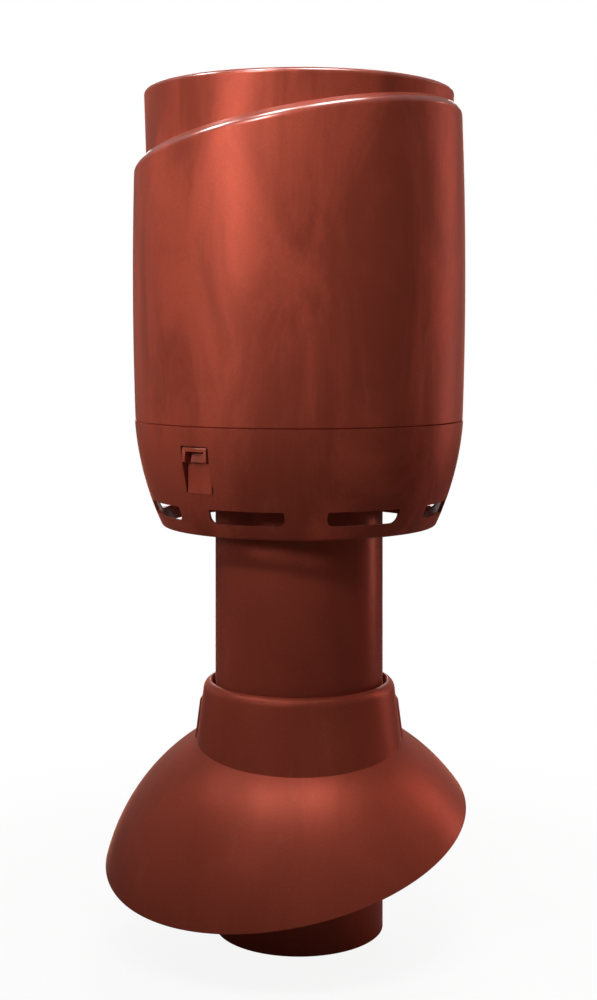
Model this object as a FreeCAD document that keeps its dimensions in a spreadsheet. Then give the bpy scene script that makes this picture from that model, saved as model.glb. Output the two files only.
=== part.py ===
import FreeCAD, Part
import math
import operator
import os

import Sketcher
from FreeCAD import Placement, Rotation, Vector

# Roof vent pipe: a standing pipe with a domed roof hood round its foot and a two-part cap on its head.
# The origin is the centre of the pipe's lower end, +Z is up and -Y is the front.
# An azimuth is counted in degrees from the front, and grows towards +X.

SIZES = {
    "pipe_radius": 55.0,
    "pipe_wall": 3.0,
    "pipe_length": 420.0,
    "pipe_bevel": 1.2,
    "fit_gap": 0.25,
    "screw_gap": 0.05,
    # Lower bowl of the cap.
    "pipe_overlap": 156.0,
    "cap_wall": 3.0,
    "bowl_low_radius": 89.5,
    "bowl_bulge": 3.3,
    "bowl_mid_height": 37.2,
    "seam_step": 0.4,
    "bowl_depth": 68.0,
    "bowl_throat_depth": 14.0,
    "rim_rounding": 1.2,
    "spigot_height": 12.0,
    "spigot_wall": 2.5,
    "slot_count": 8,
    "slot_azimuth": 25.0,
    "slot_width": 48.8,
    "slot_lift": 8.6,
    "slot_height": 9.0,
    "slot_corner": 5.0,
    "hub_wall": 3.0,
    "hub_lift": 32.0,
    "hub_height": 44.0,
    "rib_count": 8,
    "rib_wall": 2.5,
    "rib_lift": 26.0,
    "rib_height": 28.0,
    # Snap latches between the bowl and the shell.
    "latch_count": 2,
    "latch_azimuth": -37.0,
    "window_width": 21.4,
    "window_lift": 27.6,
    "window_height": 29.0,
    "window_skin": 2.8,
    "tongue_width": 19.0,
    "tongue_stand": 3.45,
    "tongue_wall": 2.0,
    "tongue_height": 18.4,
    "nose_width": 11.5,
    "nose_height": 6.0,
    "nose_reach": 4.8,
    "strap_width": 19.0,
    "strap_recess": 3.4,
    "strap_wall": 2.3,
    "strap_opening": 14.0,
    "strap_bar": 2.4,
    "strap_root": 18.0,
    "strap_bite": 2.0,
    # Upper barrel of the cap, and the inset ring above its slanted shoulder.
    "shell_low_radius": 107.2,
    "barrel_swell": 1.8,
    "barrel_taper": 0.7,
    "shell_mid_lift": 98.0,
    "shell_lift": 213.0,
    "seam_bevel": 0.6,
    "shoulder_lift": 186.1,
    "shoulder_tilt": 10.9,
    "shoulder_azimuth": 66.3,
    "shoulder_bevel": 4.6,
    "shoulder_rounding": 7.0,
    "inset_step": 6.9,
    "inset_flare": 2.2,
    "inset_lift": 148.0,
    "inset_height": 67.7,
    "lip_rounding": 4.5,
    "lip_width": 7.5,
    # Rain dish inside the shell.
    "dish_radius": 76.0,
    "dish_wall": 2.5,
    "dish_lift": 13.0,
    "dish_rise": 18.0,
    "drip_depth": 7.0,
    "arm_count": 4,
    "arm_azimuth": 25.0,
    "arm_wall": 2.5,
    "arm_inner_radius": 24.0,
    "lug_radius": 6.0,
    "lug_wall": 3.0,
    "boss_drop": 8.0,
    "boss_inset": 10.6,
    "boss_radius": 5.0,
    "boss_height": 18.0,
    "boss_web": 3.0,
    # Roof hood: a spherical dome with a neck collar.
    "dome_radius": 131.6,
    "dome_back": 12.0,
    "dome_height": 11.0,
    "hood_wall": 3.0,
    "hood_tilt": 14.8,
    "hood_azimuth": 138.6,
    "hood_rim_lift": 53.2,
    "neck_stand": 8.3,
    "neck_draft": 7.4,
    "neck_lift": 19.9,
    "neck_crown": 9.5,
    "neck_rounding": 6.5,
    "neck_mouth_gap": 3.0,
    "neck_lip": 6.5,
    "neck_depth": 58.0,
    "guide_count": 8,
    "guide_wall": 2.4,
    "guide_height": 28.0,
    "guide_reach": 2.7,
    "seal_height": 6.0,
    "seal_room": 4.0,
    "seal_wall": 5.2,
    "pad_azimuth": 100.0,
    "pad_width": 25.0,
    "pad_drop": 12.0,
    "pad_height": 27.0,
    "pad_depth": 1.3,
    "pad_slope": 2.6,
    # Screws.
    "screw_radius": 1.9,
    "screw_point": 1.5,
    "head_radius": 4.0,
    "head_height": 2.2,
    "head_edge": 0.9,
    "tip_cover": 0.3,
    "hood_screw_lift": 15.5,
    "hood_boss_radius": 5.0,
    "counterbore_gap": 0.5,
    "cap_screw_count": 3,
    "cap_screw_azimuth": 60.0,
    "cap_screw_drop": 11.0,
    "dish_screw_length": 15.0,
}

# FAR clears the whole part, CLEAR runs a cut past a face, and TOUCH is how near a point is to a face
# that it lies on. An edge is told by points at EDGE_STEPS even steps.
FAR = 400.0
CLEAR = 1.0
TOUCH = 0.1
EDGE_STEPS = 6


class Size:
    """A length or an angle: its number, and the same thing written for the sheet."""

    def __init__(self, value, text):
        self.value = value
        self.text = text

    def __add__(self, other):
        return joined(self, other, operator.add, "+")

    def __radd__(self, other):
        return joined(other, self, operator.add, "+")

    def __sub__(self, other):
        return joined(self, other, operator.sub, "-")

    def __rsub__(self, other):
        return joined(other, self, operator.sub, "-")

    def __mul__(self, other):
        return joined(self, other, operator.mul, "*")

    def __rmul__(self, other):
        return joined(other, self, operator.mul, "*")

    def __truediv__(self, other):
        return joined(self, other, operator.truediv, "/")

    def __neg__(self):
        return joined(0, self, operator.sub, "-")


def as_size(number):
    return number if isinstance(number, Size) else Size(float(number), f"{float(number):.9f}")


def joined(first, second, action, sign):
    first = as_size(first)
    second = as_size(second)
    return Size(action(first.value, second.value), f"({first.text} {sign} {second.text})")


def sine(angle):
    return Size(math.sin(math.radians(angle.value)), f"sin({angle.text})")


def cosine(angle):
    return Size(math.cos(math.radians(angle.value)), f"cos({angle.text})")


def tangent(angle):
    return Size(math.tan(math.radians(angle.value)), f"tan({angle.text})")


def root(amount):
    return Size(math.sqrt(amount.value), f"sqrt({amount.text})")


class Sheet:
    """The driving dimensions, each a cell with an alias, read as named values."""

    def __init__(self, document, sizes):
        sheet = document.addObject("Spreadsheet::Sheet", "sizes")
        for row, (name, number) in enumerate(sizes.items(), start=1):
            sheet.set(f"A{row}", name)
            sheet.set(f"B{row}", str(number))
            sheet.setAlias(f"B{row}", name)
            setattr(self, name, Size(float(number), f"sizes.{name}"))
        document.recompute()


doc = FreeCAD.newDocument("roof_vent_pipe")
size = Sheet(doc, SIZES)


def bowl_chord(lift):
    """Radius of the straight line from the bowl's rim to its seam, at a height above the rim."""
    return size.bowl_low_radius + (bowl_top_radius - size.bowl_low_radius) * lift / size.bowl_depth


# Radii and heights that several pieces share, from the pipe outward and upward.
pipe_bore = size.pipe_radius - size.pipe_wall
hub_radius = size.pipe_radius + size.fit_gap + size.hub_wall
cap_low = size.pipe_length - size.pipe_overlap
seam_height = cap_low + size.bowl_depth
hub_low = cap_low + size.hub_lift
hub_high = hub_low + size.hub_height
cap_screw_height = hub_high - size.cap_screw_drop
shell_mid_radius = size.shell_low_radius + size.barrel_swell
shell_high_radius = size.shell_low_radius - size.barrel_taper
bowl_top_radius = size.shell_low_radius + size.seam_step
spigot_radius = size.shell_low_radius - size.cap_wall - size.fit_gap
window_low = cap_low + size.window_lift
window_high = window_low + size.window_height
tongue_face = bowl_chord(size.window_lift) + size.tongue_stand
tongue_top = window_low + size.tongue_height
inset_low = seam_height + size.inset_lift
inset_low_radius = shell_high_radius - size.inset_step
inset_high_radius = inset_low_radius + size.inset_flare
cap_high = inset_low + size.inset_height
boss_circle = shell_mid_radius - size.boss_inset
boss_low = inset_low - size.boss_drop
lug_height = boss_low - size.lug_wall
neck_radius = size.pipe_radius + size.neck_stand
neck_high = size.dome_height + size.dome_radius + size.neck_lift
neck_shoulder = neck_high - size.neck_crown
under_lip = neck_high - size.neck_lip
guide_high = under_lip - size.seal_room - size.seal_height
guide_low = guide_high - size.guide_height
pad_high = neck_high - size.pad_drop
pad_low = pad_high - size.pad_height
hood_screw_height = pad_low + size.hood_screw_lift


def bind(item, name, amount):
    """Give one property its value and tie it to the sheet."""
    item.setExpression(name, as_size(amount).text)


def place(item, x=0, y=0, z=0, rotation=None):
    """Put an object at x, y, z, turned, with the place tied to the sheet."""
    corner = [as_size(part) for part in (x, y, z)]
    item.Placement = Placement(Vector(*[part.value for part in corner]), rotation or Rotation())
    for axis, part in zip("xyz", corner):
        item.setExpression(f"Placement.Base.{axis}", part.text)
    return item


def facing(azimuth):
    """The turn about Z that carries +X outward to an azimuth."""
    return Rotation(Vector(0, 0, 1), as_size(azimuth).value - 90)


def outward(azimuth):
    """The turn that carries +Z outward to an azimuth."""
    angle = math.radians(as_size(azimuth).value)
    return Rotation(Vector(math.cos(angle), math.sin(angle), 0), 90)


def turned(x, y, azimuth):
    """Where a point of the outward-facing frame lands in the part's own frame."""
    angle = as_size(azimuth) - 90
    return x * cosine(angle) - y * sine(angle), x * sine(angle) + y * cosine(angle)


def slanted(height, tilt, azimuth):
    """The turn of a plane that rises towards an azimuth, and its centre on the axis."""
    angle = math.radians(azimuth.value)
    rise = Vector(math.sin(angle), -math.cos(angle), 0)
    return Placement(Vector(0, 0, height.value), Rotation(Vector(rise.y, -rise.x, 0), tilt.value))


def new_body(name):
    return doc.addObject("PartDesign::Body", name)


def new_sketch(body, name, role):
    """A sketch on one of the body's own origin planes."""
    sketch = body.newObject("Sketcher::SketchObject", name)
    plane = [item for item in body.Origin.OriginFeatures if item.Role == role][0]
    sketch.AttachmentSupport = [(plane, "")]
    sketch.MapMode = "FlatFace"
    return sketch


def pin_point(sketch, geometry, position, x, y):
    """Fix a point of the sketch at x, y, tied to the sheet."""
    for kind, axis, amount in (("DistanceX", -2, x), ("DistanceY", -1, y)):
        amount = as_size(amount)
        if amount.value == 0:
            sketch.addConstraint(Sketcher.Constraint("PointOnObject", geometry, position, axis))
        else:
            constraint = Sketcher.Constraint(kind, -1, 1, geometry, position, amount.value)
            index = sketch.addConstraint(constraint)
            sketch.setExpression(f"Constraints[{index}]", amount.text)


def outline(sketch, points):
    """Join the points into a closed outline.

    An entry is (x, y) for a straight run to x, y, or (x, y, via_x, via_y) for an arc through the via point.
    """
    flat = [[as_size(part) for part in point] for point in points]
    corners = [Vector(point[0].value, point[1].value, 0) for point in flat]
    ends = []
    for index, point in enumerate(flat):
        start = corners[index - 1]
        end = corners[index]
        if len(point) == 2:
            sketch.addGeometry(Part.LineSegment(start, end), False)
            ends.append((1, 2))
        else:
            via = Vector(point[2].value, point[3].value, 0)
            arc = sketch.addGeometry(Part.Arc(start, via, end), False)
            first = sketch.getPoint(arc, 1)
            ends.append((1, 2) if first.distanceToPoint(start) < first.distanceToPoint(end) else (2, 1))
    for index in range(len(flat)):
        following = (index + 1) % len(flat)
        sketch.addConstraint(
            Sketcher.Constraint("Coincident", index, ends[index][1], following, ends[following][0]))
    for index, point in enumerate(flat):
        pin_point(sketch, index, ends[index][1], point[0], point[1])
    for index, point in enumerate(flat):
        if len(point) == 4:
            via = sketch.addGeometry(Part.Point(Vector(point[2].value, point[3].value, 0)), True)
            pin_point(sketch, via, 1, point[2], point[3])
            sketch.addConstraint(Sketcher.Constraint("PointOnObject", via, 1, index))


def revolve(body, name, points):
    """Turn an outline of radii and heights about the body's Z axis."""
    sketch = new_sketch(body, f"{name}_outline", "XZ_Plane")
    outline(sketch, points)
    feature = body.newObject("PartDesign::Revolution", name)
    feature.Profile = sketch
    feature.ReferenceAxis = (sketch, ["V_Axis"])
    feature.Angle = 360
    doc.recompute()
    return feature


def extrude(body, name, role, points, length, kind="Pad", symmetric=True, reverse=False):
    """Pad or pocket an outline drawn on one of the body's planes."""
    sketch = new_sketch(body, f"{name}_outline", role)
    outline(sketch, points)
    feature = body.newObject(f"PartDesign::{kind}", name)
    feature.Profile = sketch
    feature.SideType = "Symmetric" if symmetric else "One side"
    feature.Reversed = reverse
    bind(feature, "Length", length)
    doc.recompute()
    return feature


def repeat(body, name, features, count):
    """Copy features evenly round the body's Z axis."""
    pattern = body.newObject("PartDesign::PolarPattern", name)
    pattern.Originals = features
    axis = [item for item in body.Origin.OriginFeatures if item.Role == "Z_Axis"][0]
    pattern.Axis = (axis, [""])
    pattern.Angle = 360
    bind(pattern, "Occurrences", count)
    body.Tip = pattern
    doc.recompute()
    return pattern


def edges_where(feature, test):
    """The names of the edges whose every sampled point passes a test."""
    names = []
    for number, edge in enumerate(feature.Shape.Edges, start=1):
        first, last = edge.ParameterRange
        stride = (last - first) / EDGE_STEPS
        samples = [edge.valueAt(first + stride * step) for step in range(EDGE_STEPS + 1)]
        if all(test(point) for point in samples):
            names.append(f"Edge{number}")
    return names


def soften(body, name, kind, feature, test, amount):
    """Fillet or chamfer the edges that pass a test."""
    names = edges_where(feature, test)
    softened = body.newObject(f"PartDesign::{kind}", name)
    softened.Base = (feature, names)
    bind(softened, "Radius" if kind == "Fillet" else "Size", amount)
    doc.recompute()
    return softened


def radial_cylinder(name, radius, start, end, azimuth, height):
    """A cylinder on a radial line, from one distance off the axis to another."""
    cylinder = doc.addObject("Part::Cylinder", name)
    bind(cylinder, "Radius", radius)
    bind(cylinder, "Height", end - start)
    x, y = turned(as_size(start), as_size(0), azimuth)
    return place(cylinder, x, y, height, outward(azimuth))


def upright_cylinder(name, radius, low, high, distance, azimuth):
    """A standing cylinder whose axis is at a distance and azimuth."""
    cylinder = doc.addObject("Part::Cylinder", name)
    bind(cylinder, "Radius", radius)
    bind(cylinder, "Height", high - low)
    x, y = turned(as_size(distance), as_size(0), azimuth)
    return place(cylinder, x, y, low)


def radial_box(name, start, end, width, low, high, azimuth):
    """A box centred on a radial line, from one distance off the axis to another."""
    box = doc.addObject("Part::Box", name)
    bind(box, "Length", as_size(end) - start)
    bind(box, "Width", width)
    bind(box, "Height", as_size(high) - low)
    x, y = turned(as_size(start), -as_size(width) / 2, azimuth)
    return place(box, x, y, low, facing(azimuth))


def fuse(name, pieces):
    result = doc.addObject("Part::MultiFuse", name)
    result.Shapes = pieces
    return result


def cut(name, base, tool):
    result = doc.addObject("Part::Cut", name)
    result.Base = base
    result.Tool = tool
    return result


def common(name, first, second):
    result = doc.addObject("Part::MultiCommon", name)
    result.Shapes = [first, second]
    return result


def around(first, count):
    """The azimuths of evenly spaced copies."""
    return [first + 360.0 * step / int(count.value) for step in range(int(count.value))]


def sides():
    """The two sides of the hood's collar, as a name and an azimuth."""
    return (("left", -size.pad_azimuth), ("right", size.pad_azimuth))


def make_pipe():
    """A plain pipe, with blind holes for the screws of the hood and of the cap."""
    body = new_body("pipe_tube")
    tube = revolve(body, "pipe_section", [
        (pipe_bore, 0),
        (size.pipe_radius, 0),
        (size.pipe_radius, size.pipe_length),
        (pipe_bore, size.pipe_length),
    ])
    soften(body, "pipe_mouth", "Chamfer", tube,
           lambda point: point.z > size.pipe_length.value - CLEAR
           and math.hypot(point.x, point.y) > size.pipe_radius.value - CLEAR, size.pipe_bevel)
    floor = pipe_bore + size.tip_cover
    hole = size.screw_radius + size.screw_gap
    holes = [radial_cylinder(f"pipe_hole_{side}", hole, floor, size.pipe_radius + CLEAR, azimuth,
                             hood_screw_height)
             for side, azimuth in sides()]
    for number, azimuth in enumerate(around(size.cap_screw_azimuth, size.cap_screw_count), start=1):
        holes.append(radial_cylinder(f"pipe_hole_{number}", hole, floor, size.pipe_radius + CLEAR, azimuth,
                                     cap_screw_height))
    return cut("vent_pipe", body, fuse("pipe_holes", holes))


def neck_radius_at(height):
    """The collar's outer radius, which grows downward with its draft."""
    return neck_radius + (neck_shoulder - height) * tangent(size.neck_draft)


def make_hood():
    """A spherical dome with a neck collar, hollow, and cut on a slant to lie on the roof flashing."""
    neck_low = neck_shoulder - size.neck_depth
    neck_mouth = size.pipe_radius + size.neck_mouth_gap
    neck_body = new_body("neck_form")
    neck = revolve(neck_body, "neck_section", [
        (0, neck_low),
        (neck_radius_at(neck_low), neck_low),
        (neck_radius_at(neck_high), neck_high),
        (0, neck_high),
    ])
    soften(neck_body, "neck_lip_edge", "Fillet", neck,
           lambda point: point.z > neck_high.value - CLEAR
           and math.hypot(point.x, point.y) > neck_mouth.value, size.neck_rounding)
    dome = doc.addObject("Part::Sphere", "dome_form")
    bind(dome, "Radius", size.dome_radius)
    place(dome, 0, size.dome_back, size.dome_height)
    band_body = new_body("pad_band")
    pad_face = neck_radius_at(pad_low) + size.pad_depth
    pad_crown = pad_high - size.pad_slope
    revolve(band_body, "pad_band_section", [
        (size.pipe_radius, pad_low),
        (pad_face, pad_low),
        (neck_radius_at(pad_crown) + size.pad_depth, pad_crown),
        (neck_radius_at(pad_high), pad_high),
        (size.pipe_radius, pad_high),
    ])
    pad_boxes = [radial_box(f"pad_{side}_box", size.pipe_radius, pad_face + CLEAR, size.pad_width, pad_low,
                            pad_high, azimuth)
                 for side, azimuth in sides()]
    pads = common("pads", band_body, fuse("pad_boxes", pad_boxes))
    form = fuse("hood_form", [neck_body, dome, pads])

    hollow_body = new_body("neck_hollow")
    hollow_low = neck_low - CLEAR
    revolve(hollow_body, "neck_hollow_section", [
        (0, hollow_low),
        (neck_radius_at(hollow_low) - size.hood_wall, hollow_low),
        (neck_radius_at(under_lip) - size.hood_wall, under_lip),
        (neck_mouth, under_lip),
        (neck_mouth, neck_high + CLEAR),
        (0, neck_high + CLEAR),
    ])
    dome_hollow = doc.addObject("Part::Sphere", "dome_hollow")
    bind(dome_hollow, "Radius", size.dome_radius - size.hood_wall)
    place(dome_hollow, 0, size.dome_back, size.dome_height)
    guide_radius = size.pipe_radius + size.fit_gap
    guide_end = neck_radius + size.guide_reach
    stays = [radial_box(f"guide_{number}", guide_radius, guide_end, size.guide_wall, guide_low, guide_high,
                        azimuth)
             for number, azimuth in enumerate(around(as_size(0), size.guide_count), start=1)]
    for side, azimuth in sides():
        stays.append(radial_cylinder(f"hood_boss_{side}", size.hood_boss_radius, guide_radius, guide_end,
                                     azimuth, hood_screw_height))
    hollow = cut("hood_hollow", fuse("hood_room", [hollow_body, dome_hollow]), fuse("hood_stays", stays))

    below = doc.addObject("Part::Box", "below_rim")
    for side in ("Length", "Width", "Height"):
        bind(below, side, as_size(2 * FAR))
    plane = slanted(size.dome_height + size.hood_rim_lift, size.hood_tilt, size.hood_azimuth)
    below.Placement = plane.multiply(Placement(Vector(-FAR, -FAR, -2 * FAR), Rotation()))
    openings = [hollow, below]
    for side, azimuth in sides():
        openings.append(radial_cylinder(f"hood_hole_{side}", size.screw_radius + size.screw_gap,
                                        pipe_bore, size.dome_radius, azimuth, hood_screw_height))
        openings.append(radial_cylinder(f"counterbore_{side}", size.head_radius + size.counterbore_gap,
                                        head_seat(), size.dome_radius, azimuth, hood_screw_height))
    return cut("roof_hood", form, fuse("hood_openings", openings))


def head_seat():
    """How far from the axis the hood's screw heads sit, sunk to the face of the pads."""
    return neck_radius_at(hood_screw_height) + size.pad_depth - size.head_height


def make_seal():
    """A rubber ring on top of the collar's guides, under the rolled lip."""
    body = new_body("hood_seal")
    inner = size.pipe_radius + size.screw_gap
    outer = size.pipe_radius + size.seal_wall
    revolve(body, "seal_section", [
        (inner, guide_high),
        (outer, guide_high),
        (outer, guide_high + size.seal_height),
        (inner, guide_high + size.seal_height),
    ])
    return body


def make_cap_base():
    """The bowl: drain slots round its foot, a hub on ribs, a spigot and two latch tongues."""
    low = cap_low
    mid = low + size.bowl_mid_height
    mid_radius = bowl_chord(size.bowl_mid_height) + size.bowl_bulge
    spigot_high = seam_height + size.spigot_height
    body = new_body("bowl_form")
    form = revolve(body, "bowl_section", [
        (0, low),
        (size.bowl_low_radius, low),
        (bowl_top_radius, seam_height, mid_radius, mid),
        (spigot_radius, seam_height),
        (spigot_radius, spigot_high),
        (0, spigot_high),
    ])
    soften(body, "bowl_rim", "Fillet", form,
           lambda point: point.z < low.value + TOUCH
           and math.hypot(point.x, point.y) > size.bowl_low_radius.value - CLEAR, size.rim_rounding)
    half = size.slot_width / 2
    foot = low + size.slot_lift
    head = foot + size.slot_height
    corner = size.slot_corner
    bend = corner * (1 - math.sqrt(0.5))
    slot = extrude(body, "slot", "XZ_Plane", [
        (half - corner, foot),
        (half, foot + corner, half - bend, foot + bend),
        (half, head),
        (-half, head),
        (-half, foot + corner),
        (-(half - corner), foot, -(half - bend), foot + bend),
    ], shell_mid_radius + CLEAR, kind="Pocket", symmetric=False, reverse=True)
    repeat(body, "slots", [slot], size.slot_count)
    body.Placement = Placement(Vector(), Rotation(Vector(0, 0, 1), size.slot_azimuth.value))

    hollow_body = new_body("bowl_hollow")
    throat = seam_height - size.bowl_throat_depth
    throat_radius = spigot_radius - size.spigot_wall
    revolve(hollow_body, "bowl_hollow_section", [
        (0, low - CLEAR),
        (size.bowl_low_radius - size.cap_wall, low - CLEAR),
        (size.bowl_low_radius - size.cap_wall, low),
        (throat_radius, throat, mid_radius - size.cap_wall, mid),
        (throat_radius, spigot_high + CLEAR),
        (0, spigot_high + CLEAR),
    ])
    hub = upright_cylinder("hub", hub_radius, hub_low, hub_high, 0, 0)
    rib_low = low + size.rib_lift
    stays = [hub]
    for number, azimuth in enumerate(around(size.slot_azimuth, size.rib_count), start=1):
        stays.append(radial_box(f"rib_{number}", size.pipe_radius, bowl_top_radius, size.rib_wall,
                                rib_low, rib_low + size.rib_height, azimuth))
    room = cut("bowl_room", hollow_body, fuse("bowl_stays", stays))

    openings = [room]
    openings.append(upright_cylinder("hub_bore", size.pipe_radius + size.fit_gap, low - CLEAR,
                                     spigot_high + CLEAR, 0, 0))
    inside = tongue_face - size.tongue_wall - size.nose_reach - CLEAR
    for number, azimuth in enumerate(around(size.latch_azimuth, size.latch_count), start=1):
        openings.append(radial_box(f"window_{number}", inside, bowl_top_radius + CLEAR, size.window_width,
                                   window_low, window_high, azimuth))
        openings.append(radial_box(f"notch_{number}", inside, bowl_top_radius - size.window_skin,
                                   size.window_width, window_low, spigot_high + CLEAR, azimuth))
    for number, azimuth in enumerate(around(size.cap_screw_azimuth, size.cap_screw_count), start=1):
        openings.append(radial_cylinder(f"hub_hole_{number}", size.screw_radius + size.screw_gap,
                                        pipe_bore, hub_radius + CLEAR, azimuth, cap_screw_height))
    bowl = cut("bowl", body, fuse("bowl_openings", openings))
    tongues = [make_tongue(f"tongue_{number}", azimuth)
               for number, azimuth in enumerate(around(size.latch_azimuth, size.latch_count), start=1)]
    return fuse("cap_base", [bowl] + tongues)


def make_tongue(name, azimuth):
    """A sprung flat tongue in a latch window, with a nose that the shell's strap snaps over."""
    body = new_body(name)
    face = tongue_face
    back = face - size.tongue_wall
    wall = size.tongue_wall
    extrude(body, f"{name}_plate", "XZ_Plane", [
        (back, window_low - wall),
        (face - wall / 2, window_low - wall),
        (face, window_low),
        (face, tongue_top),
        (back, tongue_top),
    ], size.tongue_width)
    catch = back - size.nose_reach
    extrude(body, f"{name}_nose", "XZ_Plane", [
        (catch, tongue_top - size.nose_reach),
        (face - wall / 2, tongue_top - size.nose_reach),
        (face, tongue_top),
        (face - wall / 2, tongue_top + size.nose_height),
        (back - wall / 2, tongue_top + size.nose_height),
        (catch, tongue_top - wall / 2),
    ], size.nose_width)
    body.Placement = Placement(Vector(), facing(azimuth))
    return body


def make_strap(name, azimuth):
    """A strap that hangs from the shell, steps in behind the tongue and loops round its nose."""
    body = new_body(name)
    face = bowl_top_radius - size.strap_recess
    wall = size.strap_wall
    behind = tongue_face - size.tongue_wall - size.fit_gap
    catch = tongue_top - size.nose_reach - size.fit_gap * 2
    foot = catch - size.strap_bar
    step_high = tongue_top + size.nose_height + wall
    held = size.shell_low_radius - size.cap_wall + size.strap_bite
    extrude(body, f"{name}_plate", "XZ_Plane", [
        (held, seam_height + CLEAR),
        (held, seam_height + size.strap_root),
        (face - wall, seam_height + size.strap_root),
        (face - wall, step_high - size.fit_gap * 2),
        (behind - wall, tongue_top - size.fit_gap * 2),
        (behind - wall, foot),
        (behind, foot),
        (behind, tongue_top),
        (face, step_high),
        (face, seam_height + size.fit_gap),
    ], size.strap_width)
    opening_high = window_high - size.strap_bar - 2 * size.fit_gap - CLEAR
    half = size.strap_opening / 2
    opening = extrude(body, f"{name}_opening", "YZ_Plane", [
        (-half, catch),
        (half, catch),
        (half, opening_high),
        (-half, opening_high),
    ], size.shell_low_radius * 2 + CLEAR, kind="Pocket")
    body.Tip = opening
    body.Placement = Placement(Vector(), facing(azimuth))
    return body


def barrel(name, thinner, deeper, bevel, rounding):
    """The barrel up to its slanted shoulder, made thinner and lower for the hollow inside it."""
    body = new_body(name)
    foot = seam_height if thinner is None else seam_height - CLEAR
    thinner = as_size(0) if thinner is None else thinner
    low_radius = size.shell_low_radius - thinner
    points = [(0, foot)]
    if rounding is None:
        points.append((low_radius, foot))
        points.append((low_radius, seam_height))
    else:
        points.append((low_radius - size.seam_bevel, foot))
        points.append((low_radius, foot + size.seam_bevel))
    points.append((shell_high_radius - thinner, seam_height + size.shell_lift,
                   shell_mid_radius - thinner, seam_height + size.shell_mid_lift))
    points.append((0, seam_height + size.shell_lift))
    revolve(body, f"{name}_section", points)
    above = body.newObject("PartDesign::SubtractiveBox", f"{name}_slant")
    for side in ("Length", "Width", "Height"):
        bind(above, side, as_size(2 * FAR))
    shoulder_height = seam_height + size.shoulder_lift - deeper
    plane = slanted(shoulder_height, size.shoulder_tilt, size.shoulder_azimuth)
    above.Placement = plane.multiply(Placement(Vector(-FAR, -FAR, 0), Rotation()))
    doc.recompute()
    normal = plane.Rotation.multVec(Vector(0, 0, 1))

    def depth(point):
        return (plane.Base - point).dot(normal)

    top = soften(body, f"{name}_bevel", "Chamfer", above, lambda point: abs(depth(point)) < TOUCH, bevel)
    if rounding is not None:
        soften(body, f"{name}_rounding", "Fillet", top,
               lambda point: bevel.value / 2 < depth(point) < bevel.value * 1.5
               and math.hypot(point.x, point.y) > inset_high_radius.value, rounding)
    return body


def make_cap_shell():
    """The upper shell: barrel, slanted shoulder, inset ring with a rolled lip, bosses and snap straps."""
    wall = size.cap_wall
    body = barrel("shell_form", None, as_size(0), size.shoulder_bevel, size.shoulder_rounding)
    ring = revolve(body, "inset_ring", [
        (0, inset_low),
        (inset_low_radius, inset_low),
        (inset_high_radius, cap_high),
        (0, cap_high),
    ])
    soften(body, "inset_lip", "Fillet", ring,
           lambda point: point.z > cap_high.value - TOUCH
           and math.hypot(point.x, point.y) > inset_low_radius.value, size.lip_rounding)

    hollow = barrel("shell_hollow", wall, wall / cosine(size.shoulder_tilt), size.shoulder_bevel - wall / 2,
                    None)
    mouth = inset_high_radius - size.lip_width
    revolve(hollow, "inset_hollow", [
        (0, inset_low - wall),
        (inset_low_radius - wall, inset_low - wall),
        (inset_high_radius - wall, cap_high - wall),
        (mouth, cap_high - wall),
        (mouth, cap_high + CLEAR),
        (0, cap_high + CLEAR),
    ])
    stays = []
    pilots = []
    for number, azimuth in enumerate(around(size.arm_azimuth, size.arm_count), start=1):
        boss_high = boss_low + size.boss_height
        stays.append(upright_cylinder(f"boss_{number}", size.boss_radius, boss_low, boss_high, boss_circle,
                                      azimuth))
        stays.append(radial_box(f"boss_web_{number}", boss_circle, shell_mid_radius, size.boss_web, boss_low,
                                boss_high, azimuth))
        pilots.append(upright_cylinder(f"pilot_{number}", size.screw_radius + size.screw_gap,
                                       boss_low - CLEAR, lug_height + size.dish_screw_length + CLEAR,
                                       boss_circle, azimuth))
    room = cut("shell_room", hollow, fuse("shell_stays", stays))
    shell = cut("shell", body, fuse("shell_openings", [room] + pilots))
    straps = [make_strap(f"strap_{number}", azimuth)
              for number, azimuth in enumerate(around(size.latch_azimuth, size.latch_count), start=1)]
    return fuse("cap_shell", [shell] + straps)


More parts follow.
